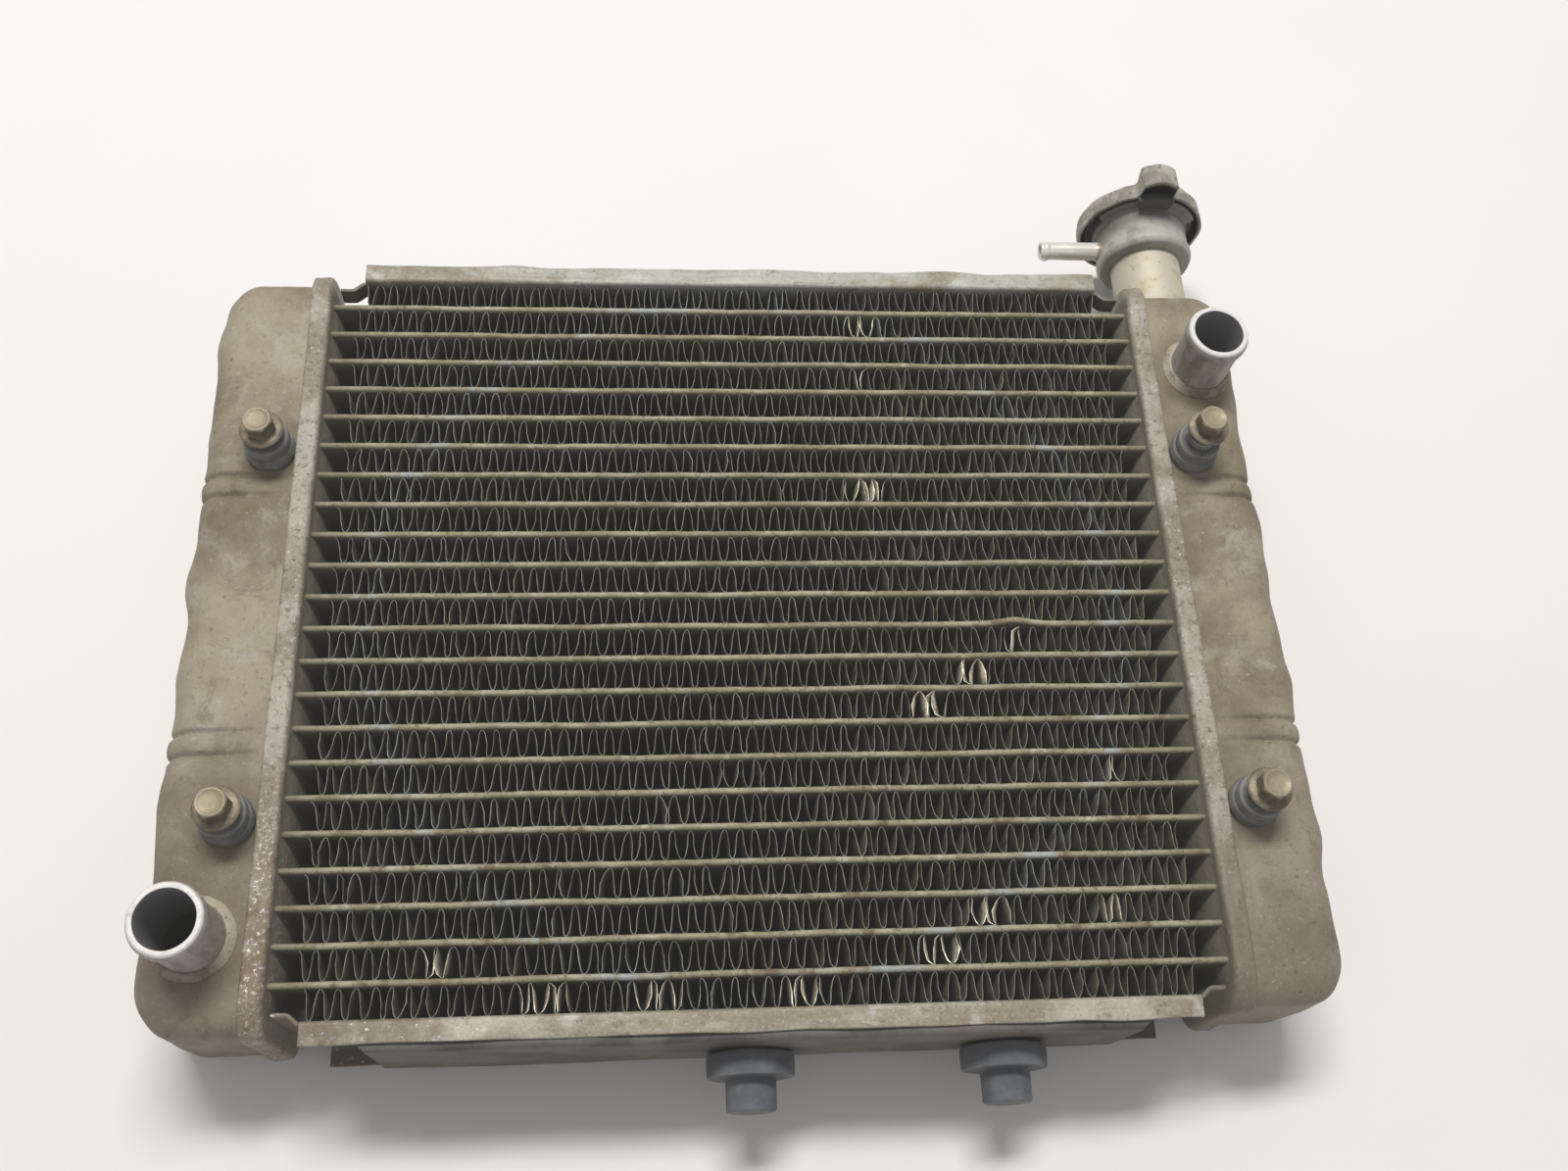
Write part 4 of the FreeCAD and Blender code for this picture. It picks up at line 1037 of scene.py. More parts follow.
def tank(side, node, pipe_node, seed):
    """Pressed tank with two stamped beads, hollow, with its holes cut."""
    low, high = box_mm(node)
    sign = 1 if side == "right" else -1
    seat = low[0] if sign > 0 else high[0]
    middle = (low + high) / 2
    length_x = high[0] - low[0]
    half_y, half_z = (high[1] - low[1]) / 2, (high[2] - low[2]) / 2
    bead_y = [sign_y * BEAD_OFFSET for sign_y in (-1, 1)]
    outer = tank_surface(length_x, half_y, half_z, 0.0, bead_y, seed, True)
    inner = tank_surface(length_x, half_y, half_z, TANK_WALL, bead_y, seed, False)
    rows, columns = outer.shape[:2]
    points = np.concatenate([outer.reshape(-1, 3), inner.reshape(-1, 3)])
    points = points * (sign, 1, 1) + (seat, middle[1], middle[2])
    skin = grid_faces(rows, columns)
    lining = skin[:, ::-1] + rows * columns
    first = np.arange(rows) * columns
    last = first + columns - 1
    lips = []
    for edge in (first, last[::-1]):
        ahead, behind = edge[1:], edge[:-1]
        lips.append(np.stack([ahead, behind, behind + rows * columns, ahead + rows * columns], -1))
    grime_and_shade = dirt_round_fittings(points, side, pipe_node)
    shells = Shells().add(points, [skin, lining] + lips, grime_and_shade)
    piece = shells.build(node + "_shell", node, TANK_LOOK, smooth_deg=46, weld=True)
    cut_holes(piece, tank_hole_cutters(side, pipe_node, high[2]))
    return piece


def dirt_round_fittings(points, side, pipe_node):
    """Share of dark dirt on the tank close to its bolts and its pipe."""
    grime_and_shade = np.zeros(len(points))
    spots = [(x, y, BOLT_GRIME_R) for x, y in bolt_places() if (x > 0) == (side == "right")]
    pipe = middle_mm(pipe_node)
    spots.append((pipe[0], pipe[1], PIPE_GRIME_R))
    for x, y, reach in spots:
        away = np.hypot(points[:, 0] - x, points[:, 1] - y)
        grime_and_shade = np.maximum(grime_and_shade, np.exp(-np.maximum(away - reach, 0) / 3.0))
    return grime_and_shade * 0.8


def tank_hole_cutters(side, pipe_node, top_z):
    """Rods where the tank is open: under its pipe, its bosses and the filler pipe."""
    pipe = middle_mm(pipe_node)
    cutters = Shells()
    holes = [(pipe[0], pipe[1], PIPE_BORE_R)]
    holes += [(x, y, BOSS_R + 0.02) for x, y in bolt_places() if (x > 0) == (side == "right")]
    for x, y, radius in holes:
        profile = np.array([(radius, top_z - CUT_DEPTH), (radius, top_z + CUT_CLEARANCE)])
        cutters.turn(profile, (x, y, 0), "Z", 64, poles=(0, 0))
    if side == "right":
        end_y = box_mm("filler_pipe")[0][1]
        profile = np.array([(NECK_BORE_R, end_y - CUT_DEPTH), (NECK_BORE_R, end_y + CUT_CLEARANCE)])
        cutters.turn(profile, NECK_AXIS, "Y", 64, poles=(0, 0))
    return cutters


def cut_holes(piece, cutters):
    """Cuts the rods out of the piece's mesh."""
    mesh = bpy.data.meshes.new("cutter")
    points = np.concatenate(cutters.points) * MM
    faces = [list(map(int, face)) for faces in cutters.faces for face in faces]
    mesh.from_pydata(points.tolist(), [], faces)
    tool = placed("cutter", mesh)
    modifier = piece.modifiers.new("holes", "BOOLEAN")
    modifier.operation = "DIFFERENCE"
    modifier.solver = "EXACT"
    modifier.object = tool
    graph = bpy.context.evaluated_depsgraph_get()
    cut = bpy.data.meshes.new_from_object(piece.evaluated_get(graph))
    piece.modifiers.clear()
    piece.data = cut
    bpy.data.objects.remove(tool)


# ================================================================ side plates and bracket
def channel_outline(open_sign, web_y, lip_y, low_z, high_z, sheet, bend):
    """C-shaped outline in (y, z): the web at web_y, the lips out to lip_y."""
    inner_y = web_y + open_sign * sheet
    corners = [
        (lip_y, high_z, 0.35), (web_y, high_z, bend), (web_y, low_z, bend), (lip_y, low_z, 0.35),
        (lip_y, low_z + sheet, 0.35), (inner_y, low_z + sheet, 0.4),
        (inner_y, high_z - sheet, 0.4), (lip_y, high_z - sheet, 0.35),
    ]
    return densified(rounded(corners), 1.6)


def side_plate(node, open_sign, material, seed):
    """Side plate: a channel over the outer fins, its lips a little wavy, with a tab at each end."""
    low, high = box_mm(node)
    dip_y = (low[1] if open_sign > 0 else high[1]) + 2.0 * open_sign
    web_y = box_mm("fin_23")[1][1] if open_sign > 0 else box_mm("fin_01")[0][1]
    lip_y = high[1] if open_sign > 0 else low[1]
    outline = channel_outline(open_sign, web_y, lip_y, low[2], high[2], SIDE_SHEET, 1.3)
    middle_x = (low[0] + high[0]) / 2

    def worked(x, y, z):
        lip = np.abs(y - web_y) / abs(lip_y - web_y)
        wave = 0.22 * ripple(x[..., None], 60, seed) + 0.09 * ripple(x[..., None], 17, seed + 1)
        front = smooth_step(0.55, 1.0, (z - low[2]) / (high[2] - low[2]))
        sideways = 0.10 * ripple(x[..., None], 33, seed + 2) * lip * 1.5
        return x, y + sideways, z + wave * lip * (0.35 + 0.65 * front)

    stations = spread(middle_x - SIDE_HALF_X, middle_x + SIDE_HALF_X, 1.6)
    shells = Shells()
    shells.add(*swept_along_x(outline, stations, worked))
    for end in (-1, 1):
        tab_low = high[2] - (TOP_TAB_DEPTH if open_sign > 0 else LOW_TAB_DEPTH)
        points, faces = end_tab(middle_x, end, open_sign, web_y, dip_y, tab_low, high[2] - 2.5)
        shells.add(points, faces, 1.0)
    return shells.build(node + "_channel", node, material)


def end_tab(middle_x, end, web_side, web_y, dip_y, low_z, high_z):
    """Bent tab from the channel's web to the header."""
    start = SIDE_HALF_X - 1.0
    reach = box_mm("top_side_plate")[1][0] - middle_x
    path = rounded([
        (start, web_y + web_side * 0.6),
        (SIDE_HALF_X + 1.0, web_y + web_side * 0.6, 2.0),
        (SIDE_HALF_X + 3.8, dip_y + web_side * 0.6, 2.0),
        (reach - 0.3, dip_y + web_side * 0.6),
    ], closed=False)
    path = densified(path, 0.8, closed=False)
    slope = np.gradient(path, axis=0)
    slope /= np.linalg.norm(slope, axis=1)[:, None]
    side = np.stack([-slope[:, 1], slope[:, 0]], -1) * SIDE_SHEET / 2
    section = rounded([
        (-1, high_z, 0.5), (1, high_z, 0.5), (1, low_z, 0.5), (-1, low_z, 0.5),
    ])
    section = densified(section, 3.0)
    points = np.empty((len(path), len(section), 3))
    for index, (share, z) in enumerate(section):
        flat = path + side * share
        points[:, index, 0] = middle_x + end * flat[:, 0]
        points[:, index, 1] = flat[:, 1]
        points[:, index, 2] = z
    return points.reshape(-1, 3), capped_faces(len(path), len(section))


def lower_bracket():
    """Channel inside the lower side plate, with chamfered ends."""
    low, high = box_mm("lower_bracket")
    outline = channel_outline(1, low[1], high[1], low[2], high[2], BRACKET_SHEET, 1.6)

    def chamfered(x, y, z):
        rest = np.minimum(x - low[0], high[0] - x)
        floor = low[1] + np.maximum(0, BRACKET_CHAMFER - rest)
        dent = 0.12 * ripple(np.stack([x, z], -1), 40, 77)
        return x, np.maximum(y, floor) + dent, z

    ends = np.array([0.0, 0.4, 1.0, 1.8, 2.5, 3.0, 3.6])
    stations = np.concatenate([low[0] + ends, spread(low[0] + 5, high[0] - 5, 2.0), high[0] - ends[::-1]])
    shells = Shells().add(*swept_along_x(outline, stations, chamfered))
    return shells.build("lower_bracket_channel", "lower_bracket", BRACKET_LOOK)


# ================================================================ pins and pads
def pin_places():
    """(x, z) of the two lower pins."""
    low, high = box_mm("lower_rubber_pads")
    z = (low[2] + high[2]) / 2
    return (low[0] + PAD_R, z), (high[0] - PAD_R, z)


def lower_pins():
    """Collared studs that reach through the bracket into the rubber pads."""
    low, high = box_mm("lower_pins")
    foot = box_mm("lower_bracket")[0][1]
    shells = Shells()
    for x, z in pin_places():
        profile = rounded([
            (0.0, low[1]), (PIN_R, low[1], 1.0), (PIN_R, foot - 0.8, 0.2), (PIN_COLLAR_R, foot - 0.8, 0.2),
            (PIN_COLLAR_R, foot, 0.2), (PIN_R, foot, 0.1), (PIN_R, high[1] - 1.0, 0.1),
            (6.0, high[1] - 1.0, 0.4), (5.6, high[1], 0.5), (0.0, high[1]),
        ], closed=False)
        shells.turn(profile[1:-1], (x, 0, z), "Y", 48, poles=(0, 0))
    return shells.build("lower_pin_studs", "lower_pins", STEEL_LOOK)


def lower_pads():
    """Stepped rubber cushions, a little out of round, with wear at their edges."""
    low, high = box_mm("lower_rubber_pads")
    shells = Shells()
    for number, (x, z) in enumerate(pin_places()):
        boss_r = 6.75
        flange_y = low[1] + 9.0
        bore_end = low[1] + 2.0
        corners = [
            (0.0, low[1]), (2.2, low[1], 0.3), (2.8, low[1] + 0.35, 0.3), (3.4, low[1], 0.4),
            (boss_r, low[1], 1.2), (boss_r + 0.15, flange_y, 0.3), (PAD_R - 0.2, flange_y, 0.35),
            (PAD_R, flange_y + 3.0, 0.4), (PAD_R - 0.1, high[1], 0.35), (PIN_R + 0.05, high[1], 0.4),
            (PIN_R + 0.05, bore_end, 0.3), (0.0, bore_end),
        ]
        profile = densified(rounded(corners, closed=False), 1.5, closed=False)[1:-1]

        def squashed(radius, height, angle, number=number):
            oval = 1 + 0.012 * np.cos(2 * angle + number) + 0.006 * np.cos(5 * angle + 2 * number)
            return radius * oval, height

        wear_and_shade = np.zeros(len(profile))
        for index, (radius, height) in enumerate(profile):
            near_tip = math.exp(-abs(height - low[1]) / 0.8) if radius < boss_r + 0.5 else 0
            near_step = math.exp(-abs(height - flange_y) / 0.6) * (radius > 10.5)
            wear_and_shade[index] = 0.35 * max(near_tip, near_step)
        shells.turn(profile, (x, 0, z), "Y", 80, squashed, wear_and_shade, poles=(0, 0))
    return shells.build("lower_pin_cushions", "lower_rubber_pads", PAD_LOOK)


# ================================================================ hose pipes
def hose_pipe(node, seed):
    """Pipe with a rolled bead and a bright lip rubbed by wear."""
    low, high = box_mm(node)
    x, y = middle_mm(node)[:2]
    foot, mouth = low[2], high[2]
    bead_r = (high[0] - low[0]) / 2
    bead_z = mouth - 2.4
    profile = densified(rounded([
        (PIPE_BORE_R, foot), (PIPE_R, foot), (PIPE_R, bead_z - 2.6, 1.4), (bead_r, bead_z - 0.8, 1.0),
        (bead_r, bead_z + 0.6, 1.0), (PIPE_R + 0.25, mouth - 0.35, 0.7), (PIPE_R - 0.15, mouth, 0.2),
        (PIPE_BORE_R + 0.15, mouth, 0.12), (PIPE_BORE_R, mouth - 0.3, 0.1), (PIPE_BORE_R, mouth - 2.0),
    ]), 1.4)

    def dented(radius, height, angle):
        wave = 0.05 * np.cos(2 * angle + seed) + 0.03 * np.cos(7 * angle + 2.0 * seed)
        return radius + wave * smooth_step(foot, mouth, height), height

    bright = smooth_step(mouth - 0.7, mouth - 0.35, profile[:, 1])
    inside = (profile[:, 0] < PIPE_BORE_R + 0.2) & (profile[:, 1] < mouth - 0.25)
    shells = Shells().turn(profile, (x, y, 0), "Z", 112, dented, np.where(inside, -1.0, bright))
    return shells.build(node + "_stub", node, PIPE_LOOK)


def weld_ring(node, seed):
    """Hand-laid fillet weld with overlapping ripples."""
    low, high = box_mm(node)
    x, y = middle_mm(node)[:2]
    toe_r = (high[0] - low[0]) / 2
    foot, top = low[2], high[2]
    profile = densified(rounded([
        (PIPE_R + 0.02, foot - 0.4), (toe_r, foot - 0.4), (toe_r - 0.1, foot + 0.5, 0.5),
        (PIPE_R + 1.5, foot + 1.5, 1.2), (PIPE_R + 0.5, top, 0.4), (PIPE_R + 0.02, top, 0.1),
    ]), 0.5)
    random = np.random.default_rng(seed)
    lumps = random.uniform(-1, 1, 40)

    def laid(radius, height, angle):
        out = smooth_step(PIPE_R + 0.2, PIPE_R + 1.2, radius)
        beads = np.abs(np.sin(angle * 15 + seed)) ** 0.7
        place = angle / (2 * math.pi) * len(lumps)
        uneven = np.interp(place, np.arange(len(lumps) + 1), np.append(lumps, lumps[0]))
        wider = out * (0.07 * beads - 0.12 + 0.08 * uneven)
        return radius + wider, height + out * (0.05 * beads + 0.05 * uneven)

    points, faces = turned(profile, (x, y, 0), "Z", 180, laid)
    inward = (points[:, 0] - x) * (1 if x < 0 else -1)
    crusted = smooth_step(0.0, 6.0, inward + 0.5 * (points[:, 1] - y))
    shells = Shells().add(points, faces, crusted)
    return shells.build(node + "_bead", node, WELD_LOOK, smooth_deg=60)


# ================================================================ bolts
def bolt_places():
    """(x, y) of the four bolts: upper left, upper right, lower left, lower right."""
    low, high = box_mm("tank_bosses")
    left, right = low[0] + BOSS_R, high[0] - BOSS_R
    lower, upper = low[1] + BOSS_R, high[1] - BOSS_R
    return (left, upper), (right, upper), (left, lower), (right, lower)


BOLT_LIFTS = (0.0, 3.6, 0.6, 1.0)
BOLT_TURNS_DEG = (8.0, 22.0, -14.0, 35.0)
BOLT_SEAT_Z = box_mm("bolt_sleeves")[1][2]
BOLT_SHANK = 18.0
BOLT_FLANGE_HEIGHT = 1.3
BOLT_HEAD_HEIGHT = 5.4
BOLT_HALF_FLATS = 4.0
THREAD_PITCH = 1.0
THREAD_DEPTH = 0.30


def flange_bolts():
    """Hexagon bolts with chamfered heads, a dished top, a round flange and a thread."""
    shells = Shells()
    for (x, y), lift, turn in zip(bolt_places(), BOLT_LIFTS, BOLT_TURNS_DEG):
        seat = BOLT_SEAT_Z + lift
        flange_top = seat + BOLT_FLANGE_HEIGHT
        top = flange_top + BOLT_HEAD_HEIGHT
        thread = spread(seat - BOLT_SHANK, seat - 1.2, 0.25)
        rows = [(0.6, thread[0] - 0.6), (BOLT_THREAD_R - 0.6, thread[0] - 0.3)]
        rows += [(BOLT_THREAD_R, z) for z in thread]
        rows += [(2.95, seat - 0.6), (3.0, seat - 0.05), (4.2, seat), (BOLT_FLANGE_R - 0.3, seat)]
        rows += [(BOLT_FLANGE_R, seat + 0.25), (BOLT_FLANGE_R, flange_top - 0.5)]
        rows += [(BOLT_FLANGE_R - 0.35, flange_top - 0.15), (5.4, flange_top), (4.85, flange_top + 0.15)]
        rows += [(BOLT_HEX_R, flange_top + 0.5)]
        rows += [(BOLT_HEX_R, z) for z in spread(flange_top + 1.2, top - 1.3, 1.0)]
        rows += [(BOLT_HEX_R, top - 1.0), (BOLT_HEX_R, top - 0.6)]
        rows += [(BOLT_HEX_R - 0.35, top - 0.25), (3.75, top - 0.03)]
        rows += [(3.45, top), (3.2, top - 0.10), (2.6, top - 0.30), (1.6, top - 0.38), (0.5, top - 0.40)]
        profile = np.array(rows)

        def hexagonal(radius, height, angle, seat=seat, flange_top=flange_top, top=top, turn=turn):
            in_side = (angle + math.radians(turn)) % (math.pi / 3) - math.pi / 6
            flat = np.minimum(BOLT_HALF_FLATS / np.cos(in_side), 4.52)
            head = height > flange_top + 0.05
            chamfer = 4.55 - np.maximum(0, height - (top - 0.85)) * 0.9
            radius = np.where(head & (radius > 3.6), np.minimum(np.minimum(radius, flat), chamfer), radius)
            threaded = (height < seat - 1.0) & (radius > 2.0)
            groove = np.abs((height / THREAD_PITCH - angle / (2 * math.pi)) % 1.0 - 0.5) * 2
            return np.where(threaded, radius - THREAD_DEPTH * groove, radius), height

        above = smooth_step(top - 0.9, top - 0.1, profile[:, 1])
        shells.turn(profile, (x, y, 0), "Z", 96, hexagonal, above, poles=(0, 1))
    return shells.build("flange_bolts", "mounting_bolts", BOLT_LOOK, smooth_deg=34)


def bolt_sleeves():
    """Distance tubes that carry the bolts through the rubber rings."""
    foot, top = box_mm("bolt_sleeves")[0][2], BOLT_SEAT_Z
    shells = Shells()
    profile = rounded([(3.3, foot), (SLEEVE_R, foot), (SLEEVE_R, top, 0.25), (3.3, top, 0.25)])
    for x, y in bolt_places():
        shells.turn(densified(profile, 3.0), (x, y, 0), "Z", 64)
    return shells.build("distance_sleeves", "bolt_sleeves", STEEL_LOOK)


def bolt_grommets():
    """Stepped rubber rings that bulge a little under their bolts."""
    low, high = box_mm("bolt_grommets")
    foot, top = low[2], high[2]
    step = foot + 4.4
    shells = Shells()
    for number, (x, y) in enumerate(bolt_places()):
        profile = densified(rounded([
            (SLEEVE_R, foot), (7.1, foot, 0.2), (7.35, foot + 2.2, 2.0), (7.1, step - 0.2, 0.5),
            (6.3, step + 0.1, 0.35), (6.75, step + 1.6, 1.2), (6.55, top, 0.9), (SLEEVE_R, top - 0.15, 0.3),
        ]), 0.9)
        wear_and_shade = smooth_step(top - 1.0, top - 0.2, profile[:, 1]) * smooth_step(5.6, 6.3, profile[:, 0]) * 0.9

        def settled(radius, height, angle, number=number):
            lean = 0.10 * np.cos(angle - number) + 0.05 * np.cos(3 * angle + number)
            return radius + lean * smooth_step(SLEEVE_R + 0.5, 6.0, radius), height

        shells.turn(profile, (x, y, 0), "Z", 80, settled, wear_and_shade)
    return shells.build("rubber_grommets", "bolt_grommets", GROMMET_LOOK)


# ================================================================ filler neck
NOTCH_HALF_DEG = 27.0


def filler_pipe():
    """Neck pipe with an uneven soldered seam at the tank."""
    low, high = box_mm("filler_pipe")
    profile = densified(rounded([
        (NECK_BORE_R, low[1]), (NECK_R + 0.9, low[1] - 0.2, 0.2), (NECK_R + 0.7, low[1] + 0.9, 0.6),
        (NECK_R, low[1] + 2.0, 0.9), (NECK_R, high[1]), (NECK_BORE_R, high[1]),
    ]), 1.4)

    def uneven(radius, height, angle):
        bead = smooth_step(low[1] + 2.4, low[1], height) * smooth_step(NECK_R - 0.5, NECK_R, radius)
        return radius + bead * (0.18 * np.sin(17 * angle) + 0.2 * np.sin(5 * angle + 1)), height

    grime_and_shade = smooth_step(low[1] + 3.0, low[1], profile[:, 1]) * 0.45
    shells = Shells().turn(profile, NECK_AXIS, "Y", 112, uneven, grime_and_shade)
    return shells.build("filler_neck_pipe", "filler_pipe", NECK_PIPE_LOOK)


def filler_cup():
    """Pressed cup with a rolled foot, a valve seat and a cam flange with two notches."""
    low, high = box_mm("filler_cup")
    inner = CUP_R - CUP_WALL
    seat_y = low[1] + CUP_WALL
    cam_low, cam_top = high[1] - 1.2, high[1]
    profile = densified(rounded([
        (NECK_BORE_R, low[1], 0.2), (NECK_R + 0.9, low[1] - 0.3, 0.4), (CUP_R - 0.5, low[1], 1.4),
        (CUP_R + 0.65, low[1] + 2.2, 1.6), (CUP_R + 0.35, low[1] + 4.4, 2.0),
        (CUP_R - 0.1, low[1] + 6.4, 1.6),
        (CUP_R, cam_low - 1.0, 1.0), (CUP_R + 0.8, cam_low, 0.8), (CAM_R, cam_low, 0.3),
        (CAM_R, cam_top, 0.4), (inner, cam_top, 0.6), (inner, seat_y, 0.5), (NECK_BORE_R, seat_y, 0.3),
    ]), 1.0)

    def notched(radius, height, angle):
        off = np.degrees(np.abs((angle + math.pi / 2) % math.pi - math.pi / 2))
        notch = 1 - smooth_step(NOTCH_HALF_DEG - 2, NOTCH_HALF_DEG + 2, off)
        limit = CAM_R - notch * (CAM_R - CUP_R - 0.6)
        return np.minimum(radius, limit), height

    # painted shade: the cup's upper part under the cap, and a band at its rolled foot, are marked dark
    grime_and_shade = smooth_step(cam_low - 9.5, cam_low - 3.0, profile[:, 1]) * 0.9
    rolled = 0.6 * smooth_step(low[1] + 1.8, low[1], profile[:, 1]) * (profile[:, 0] > NECK_R)
    shells = Shells().turn(profile, NECK_AXIS, "Y", 160, notched, np.maximum(grime_and_shade, rolled))
    return shells.build("filler_neck_cup", "filler_cup", CUP_LOOK)


def overflow_spout():
    """Small beaded pipe whose root follows the cup's wall."""
    low, high = box_mm("overflow_spout")
    y, z = middle_mm("overflow_spout")[1:]
    tip, wall = low[0], NECK_MIDDLE[0] - math.sqrt(CUP_R ** 2 - SPOUT_R ** 2) + 0.5
    bead_r = (high[1] - low[1]) / 2
    profile = densified(rounded([
        (SPOUT_BORE_R, tip, 0.15), (SPOUT_R - 0.05, tip, 0.3), (SPOUT_R, tip + 0.6, 0.2),
        (bead_r, tip + 1.4, 0.5), (bead_r, tip + 2.2, 0.5), (SPOUT_R, tip + 3.0, 0.4),
        (SPOUT_R, wall - 2.2, 0.8), (SPOUT_R + 0.25, wall - 1.6, 0.4), (SPOUT_R + 0.3, wall, 0.2),
        (SPOUT_BORE_R, wall),
    ]), 1.0)

    def coped(radius, height, angle):
        out = radius * np.sin(angle)
        reach = NECK_MIDDLE[0] - np.sqrt(np.maximum(CUP_R ** 2 - out ** 2, 0)) + 0.3
        at_wall = smooth_step(wall - 2.0, wall - 0.2, height)
        return radius, height * (1 - at_wall) + reach * at_wall

    stain = smooth_step(wall - 2.6, wall - 1.2, profile[:, 1])
    shells = Shells().turn(profile, (0, y, z), "X", 64, coped, stain)
    return shells.build("overflow_spout_tube", "overflow_spout", SPOUT_LOOK)


# ================================================================ pressure cap
def cap_rim_radius(angle):
    """Rim radius at an angle from +X: round, with an ear towards +Z and one towards -Z."""
    off = np.abs((angle + math.pi) % math.pi - math.pi / 2)
    rounded_tip = EAR_R - 0.9 * (off / 0.16) ** 2
    flank = EAR_HALF_WIDTH / np.maximum(np.sin(off), 1e-6)
    ear = np.minimum(rounded_tip, flank)
    softness = 1.1
    return np.logaddexp(softness * CAP_R, softness * ear) / softness - 0.25


def cap_shell():
    """Pressed cap: a ribbed disc, a rolled skirt, two hooded ears and the lugs under them."""
    lug_y = box_mm("cap_shell")[0][1]
    top = box_mm("cap_rivet")[1][1] - 0.9
    skirt = top - 6.7
    inner = CAP_R - CAP_WALL
    profile = densified(rounded([
        (3.0, top - CAP_WALL), (9.0, top - CAP_WALL, 1.0), (10.2, top - 1.6 - CAP_WALL, 1.0),
        (14.0, top - 1.6 - CAP_WALL, 1.0), (15.2, top - CAP_WALL, 1.0), (inner, top - CAP_WALL, 1.6),
        (inner, skirt, 0.2), (CAP_R + 0.25, skirt - 0.1, 0.5), (CAP_R, skirt + 1.6, 0.6), (CAP_R, top, 2.4),
        (15.6, top, 1.2), (14.4, top - 1.6, 1.0), (9.8, top - 1.6, 1.0), (8.6, top, 1.0), (3.0, top),
    ]), 0.9)

    def eared(radius, height, angle):
        rim = cap_rim_radius(angle)
        stretch = (rim - CAP_R) * smooth_step(16.0, CAP_R - 0.4, radius)
        ear = smooth_step(0.5, 5.0, rim - CAP_R)
        lifted = 1.7 * ear * smooth_step(15.5, 20.0, radius)
        upper = smooth_step(skirt + 1.0, top - 1.0, height)
        ragged = 0.25 * np.sin(9 * angle) * np.sin(4 * angle + 1) * smooth_step(20, 21.5, radius)
        return radius + stretch + ragged, height + lifted * upper - 0.8 * ear * (1 - upper)

    # the inside of the cap carries the painted shade
    under = (profile[:, 0] < inner + 0.3) & (profile[:, 1] < top - CAP_WALL + 0.05)
    under &= np.arange(len(profile)) < len(profile) // 2
    segments = 260
    points, faces = turned(profile, NECK_AXIS, "Y", segments, eared)
    points[:, 1] += 0.10 * ripple(points, 14, 61) + 0.04 * ripple(points, 4, 62)
    shells = Shells().add(points, faces, np.repeat(under, segments))
    # the lugs carry painted shade, so that they sink into the dark under the ears
    for direction in (90, 270):
        points, faces = cap_lug(direction, lug_y, skirt, inner)
        shells.add(points, faces, 1.0)
    return shells.build("pressure_cap", "cap_shell", CAP_LOOK, body="cap", smooth_deg=50)


def cap_lug(direction, low_y, skirt, inner):
    """Lug folded in under the cam flange from the skirt's edge."""
    half = math.radians(17)
    angle = np.linspace(-half, half, 22) + math.radians(direction)
    section = rounded([
        (16.9, low_y, 0.3), (CAP_R, low_y, 0.9), (CAP_R, skirt + 1.0, 0.2), (inner, skirt + 1.0, 0.2),
        (inner, low_y + 1.2, 0.4), (16.9, low_y + 1.2, 0.3),
    ])
    section = densified(section, 1.0)
    points = np.empty((len(angle), len(section), 3))
    for index, (radius, height) in enumerate(section):
        points[:, index, 0] = NECK_MIDDLE[0] + radius * np.cos(angle)
        points[:, index, 1] = height
        points[:, index, 2] = NECK_MIDDLE[2] + radius * np.sin(angle)
    return points.reshape(-1, 3), capped_faces(len(angle), len(section))


# ================================================================ the object
def dress_cad_nodes():
    """Gives the carried-over CAD nodes their materials."""
    looks = {
        "tank_bosses": STEEL_LOOK,
        "cap_rivet": STEEL_LOOK,
        "cap_top_seal": SEAL_LOOK,
        "cap_spring_disc": DARK_STEEL_LOOK,
        "pressure_spring": STEEL_LOOK,
        "pressure_valve": BRASS_LOOK,
        "pressure_gasket": SEAL_LOOK,
        "vacuum_valve": BRASS_LOOK,
        "vacuum_spring": STEEL_LOOK,
    }
    for node, look in looks.items():
        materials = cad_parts[node].data.materials
        materials.clear()
        materials.append(look)


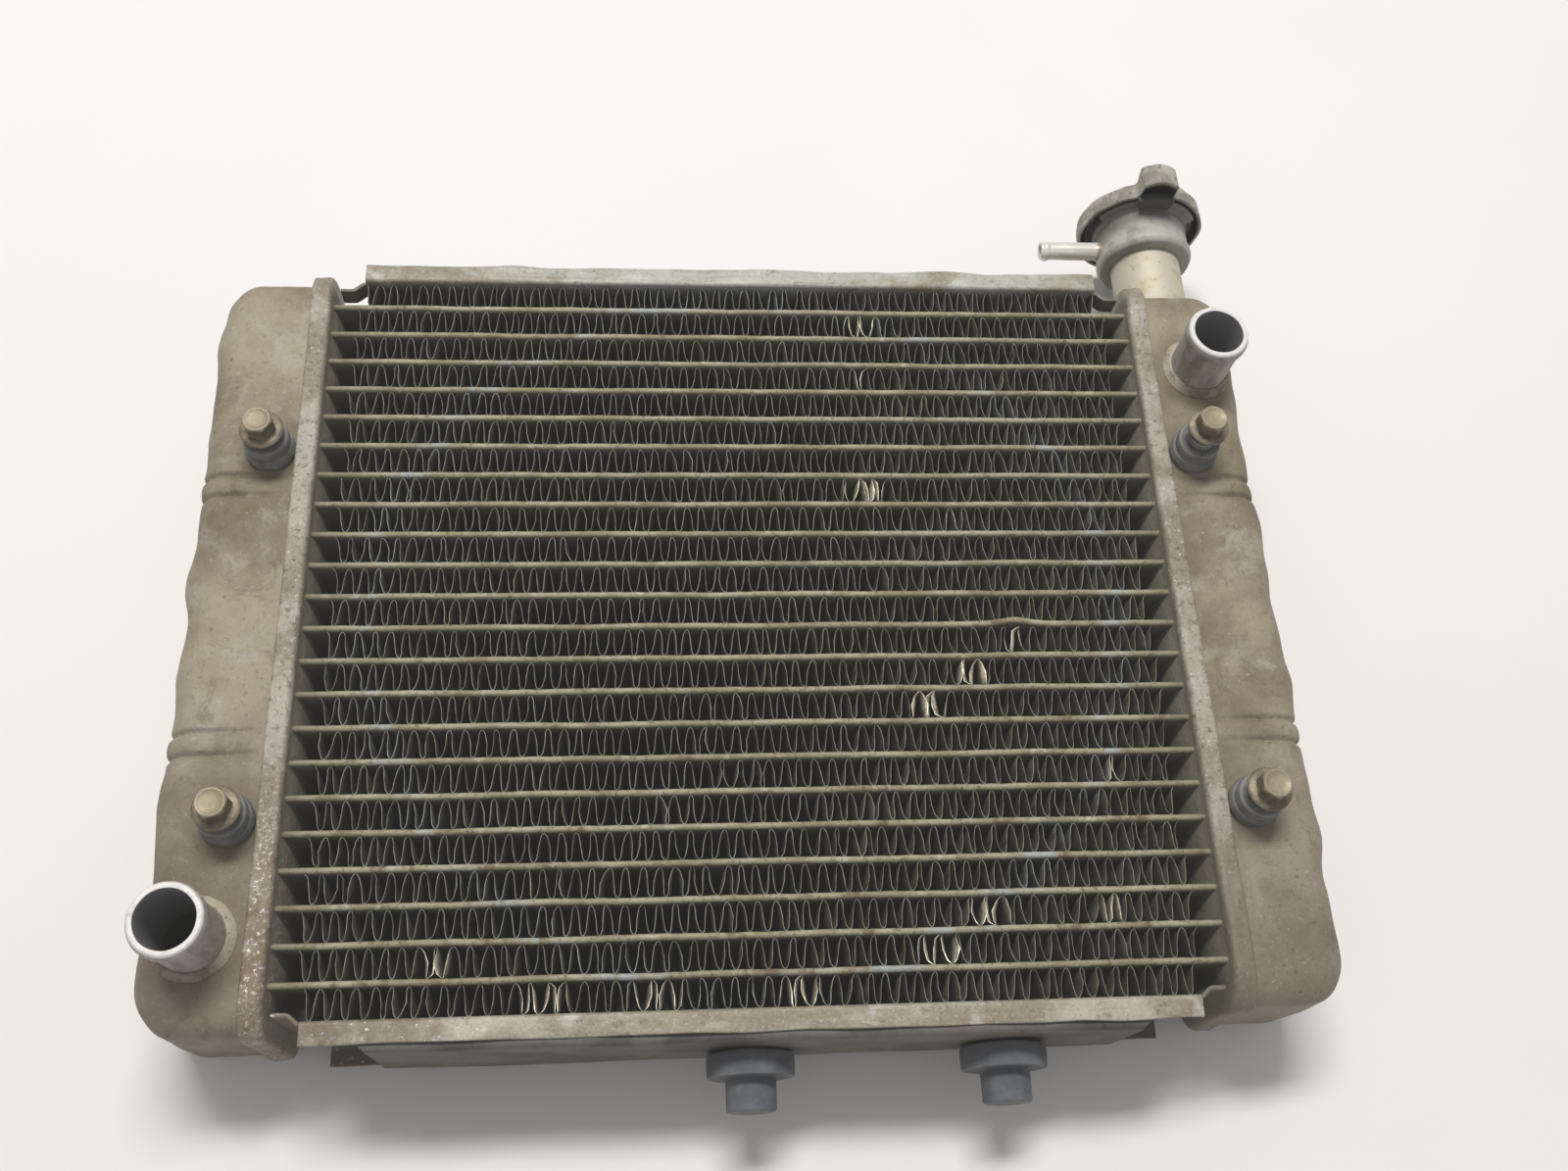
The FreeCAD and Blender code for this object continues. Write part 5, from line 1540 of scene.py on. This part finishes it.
def build_radiator():
    flat_tubes()
    for row in range(TUBE_COUNT + 1):
        corrugated_fin(row, "fin_%02d" % (row + 1))
    header("left", "left_header")
    header("right", "right_header")
    tank("left", "left_tank", "outlet_pipe", 11)
    tank("right", "right_tank", "inlet_pipe", 23)
    side_plate("top_side_plate", 1, TOP_PLATE_LOOK, 51)
    side_plate("bottom_side_plate", -1, LOW_PLATE_LOOK, 57)
    lower_bracket()
    lower_pins()
    lower_pads()
    hose_pipe("inlet_pipe", 1.0)
    hose_pipe("outlet_pipe", 2.0)
    weld_ring("inlet_weld_ring", 3)
    weld_ring("outlet_weld_ring", 4)
    flange_bolts()
    bolt_sleeves()
    bolt_grommets()
    filler_pipe()
    filler_cup()
    overflow_spout()
    cap_shell()
    dress_cad_nodes()


# ================================================================ stage, light and camera
def floor():
    mesh = bpy.data.meshes.new("floor")
    half = 6.0
    corners = [(-half, -half, 0), (half, -half, 0), (half, half, 0), (-half, half, 0)]
    mesh.from_pydata(corners, [], [(0, 1, 2, 3)])
    mesh.materials.append(floor_material())
    placed("floor", mesh)


def area_light(name, place, aim, width, height, power, tint):
    light = bpy.data.lights.new(name, "AREA")
    light.shape = "RECTANGLE"
    light.size = width
    light.size_y = height
    light.energy = power
    light.color = tint
    lamp = placed(name, light)
    lamp.location = place
    lamp.rotation_euler = Vector(np.subtract(aim, place)).to_track_quat("-Z", "Y").to_euler()


def light_and_world():
    """Soft studio light: a broad softbox overhead, leaning from the filler neck's side."""
    area_light(
        "overhead_softbox", place=(-0.12, 0.72, 1.9), aim=(0, 0, 0),
        width=1.0, height=0.32, power=34.0, tint=(1.0, 0.985, 0.96),
    )
    world = bpy.data.worlds.new("studio")
    world.use_nodes = True
    background = world.node_tree.nodes["Background"]
    background.inputs["Color"].default_value = (0.97, 0.96, 0.98, 1.0)
    background.inputs["Strength"].default_value = 0.42
    bpy.context.scene.world = world
    view = bpy.context.scene.view_settings
    view.view_transform = "Standard"
    # the pale haze that the bright table throws into the lens
    view.use_curve_mapping = True
    view.curve_mapping.black_level = (-0.018, -0.018, -0.017)
    view.curve_mapping.update()


def camera():
    data = bpy.data.cameras.new("camera")
    data.sensor_width = 36.0
    data.lens = 34.18
    data.clip_start = 0.01
    eye = placed("camera", data)
    eye.location = (-0.030994, -0.184326, 0.448820)
    eye.rotation_euler = [math.radians(angle) for angle in (24.392, -4.535, -2.370)]
    bpy.context.scene.camera = eye


camera()
floor()
light_and_world()
build_radiator()
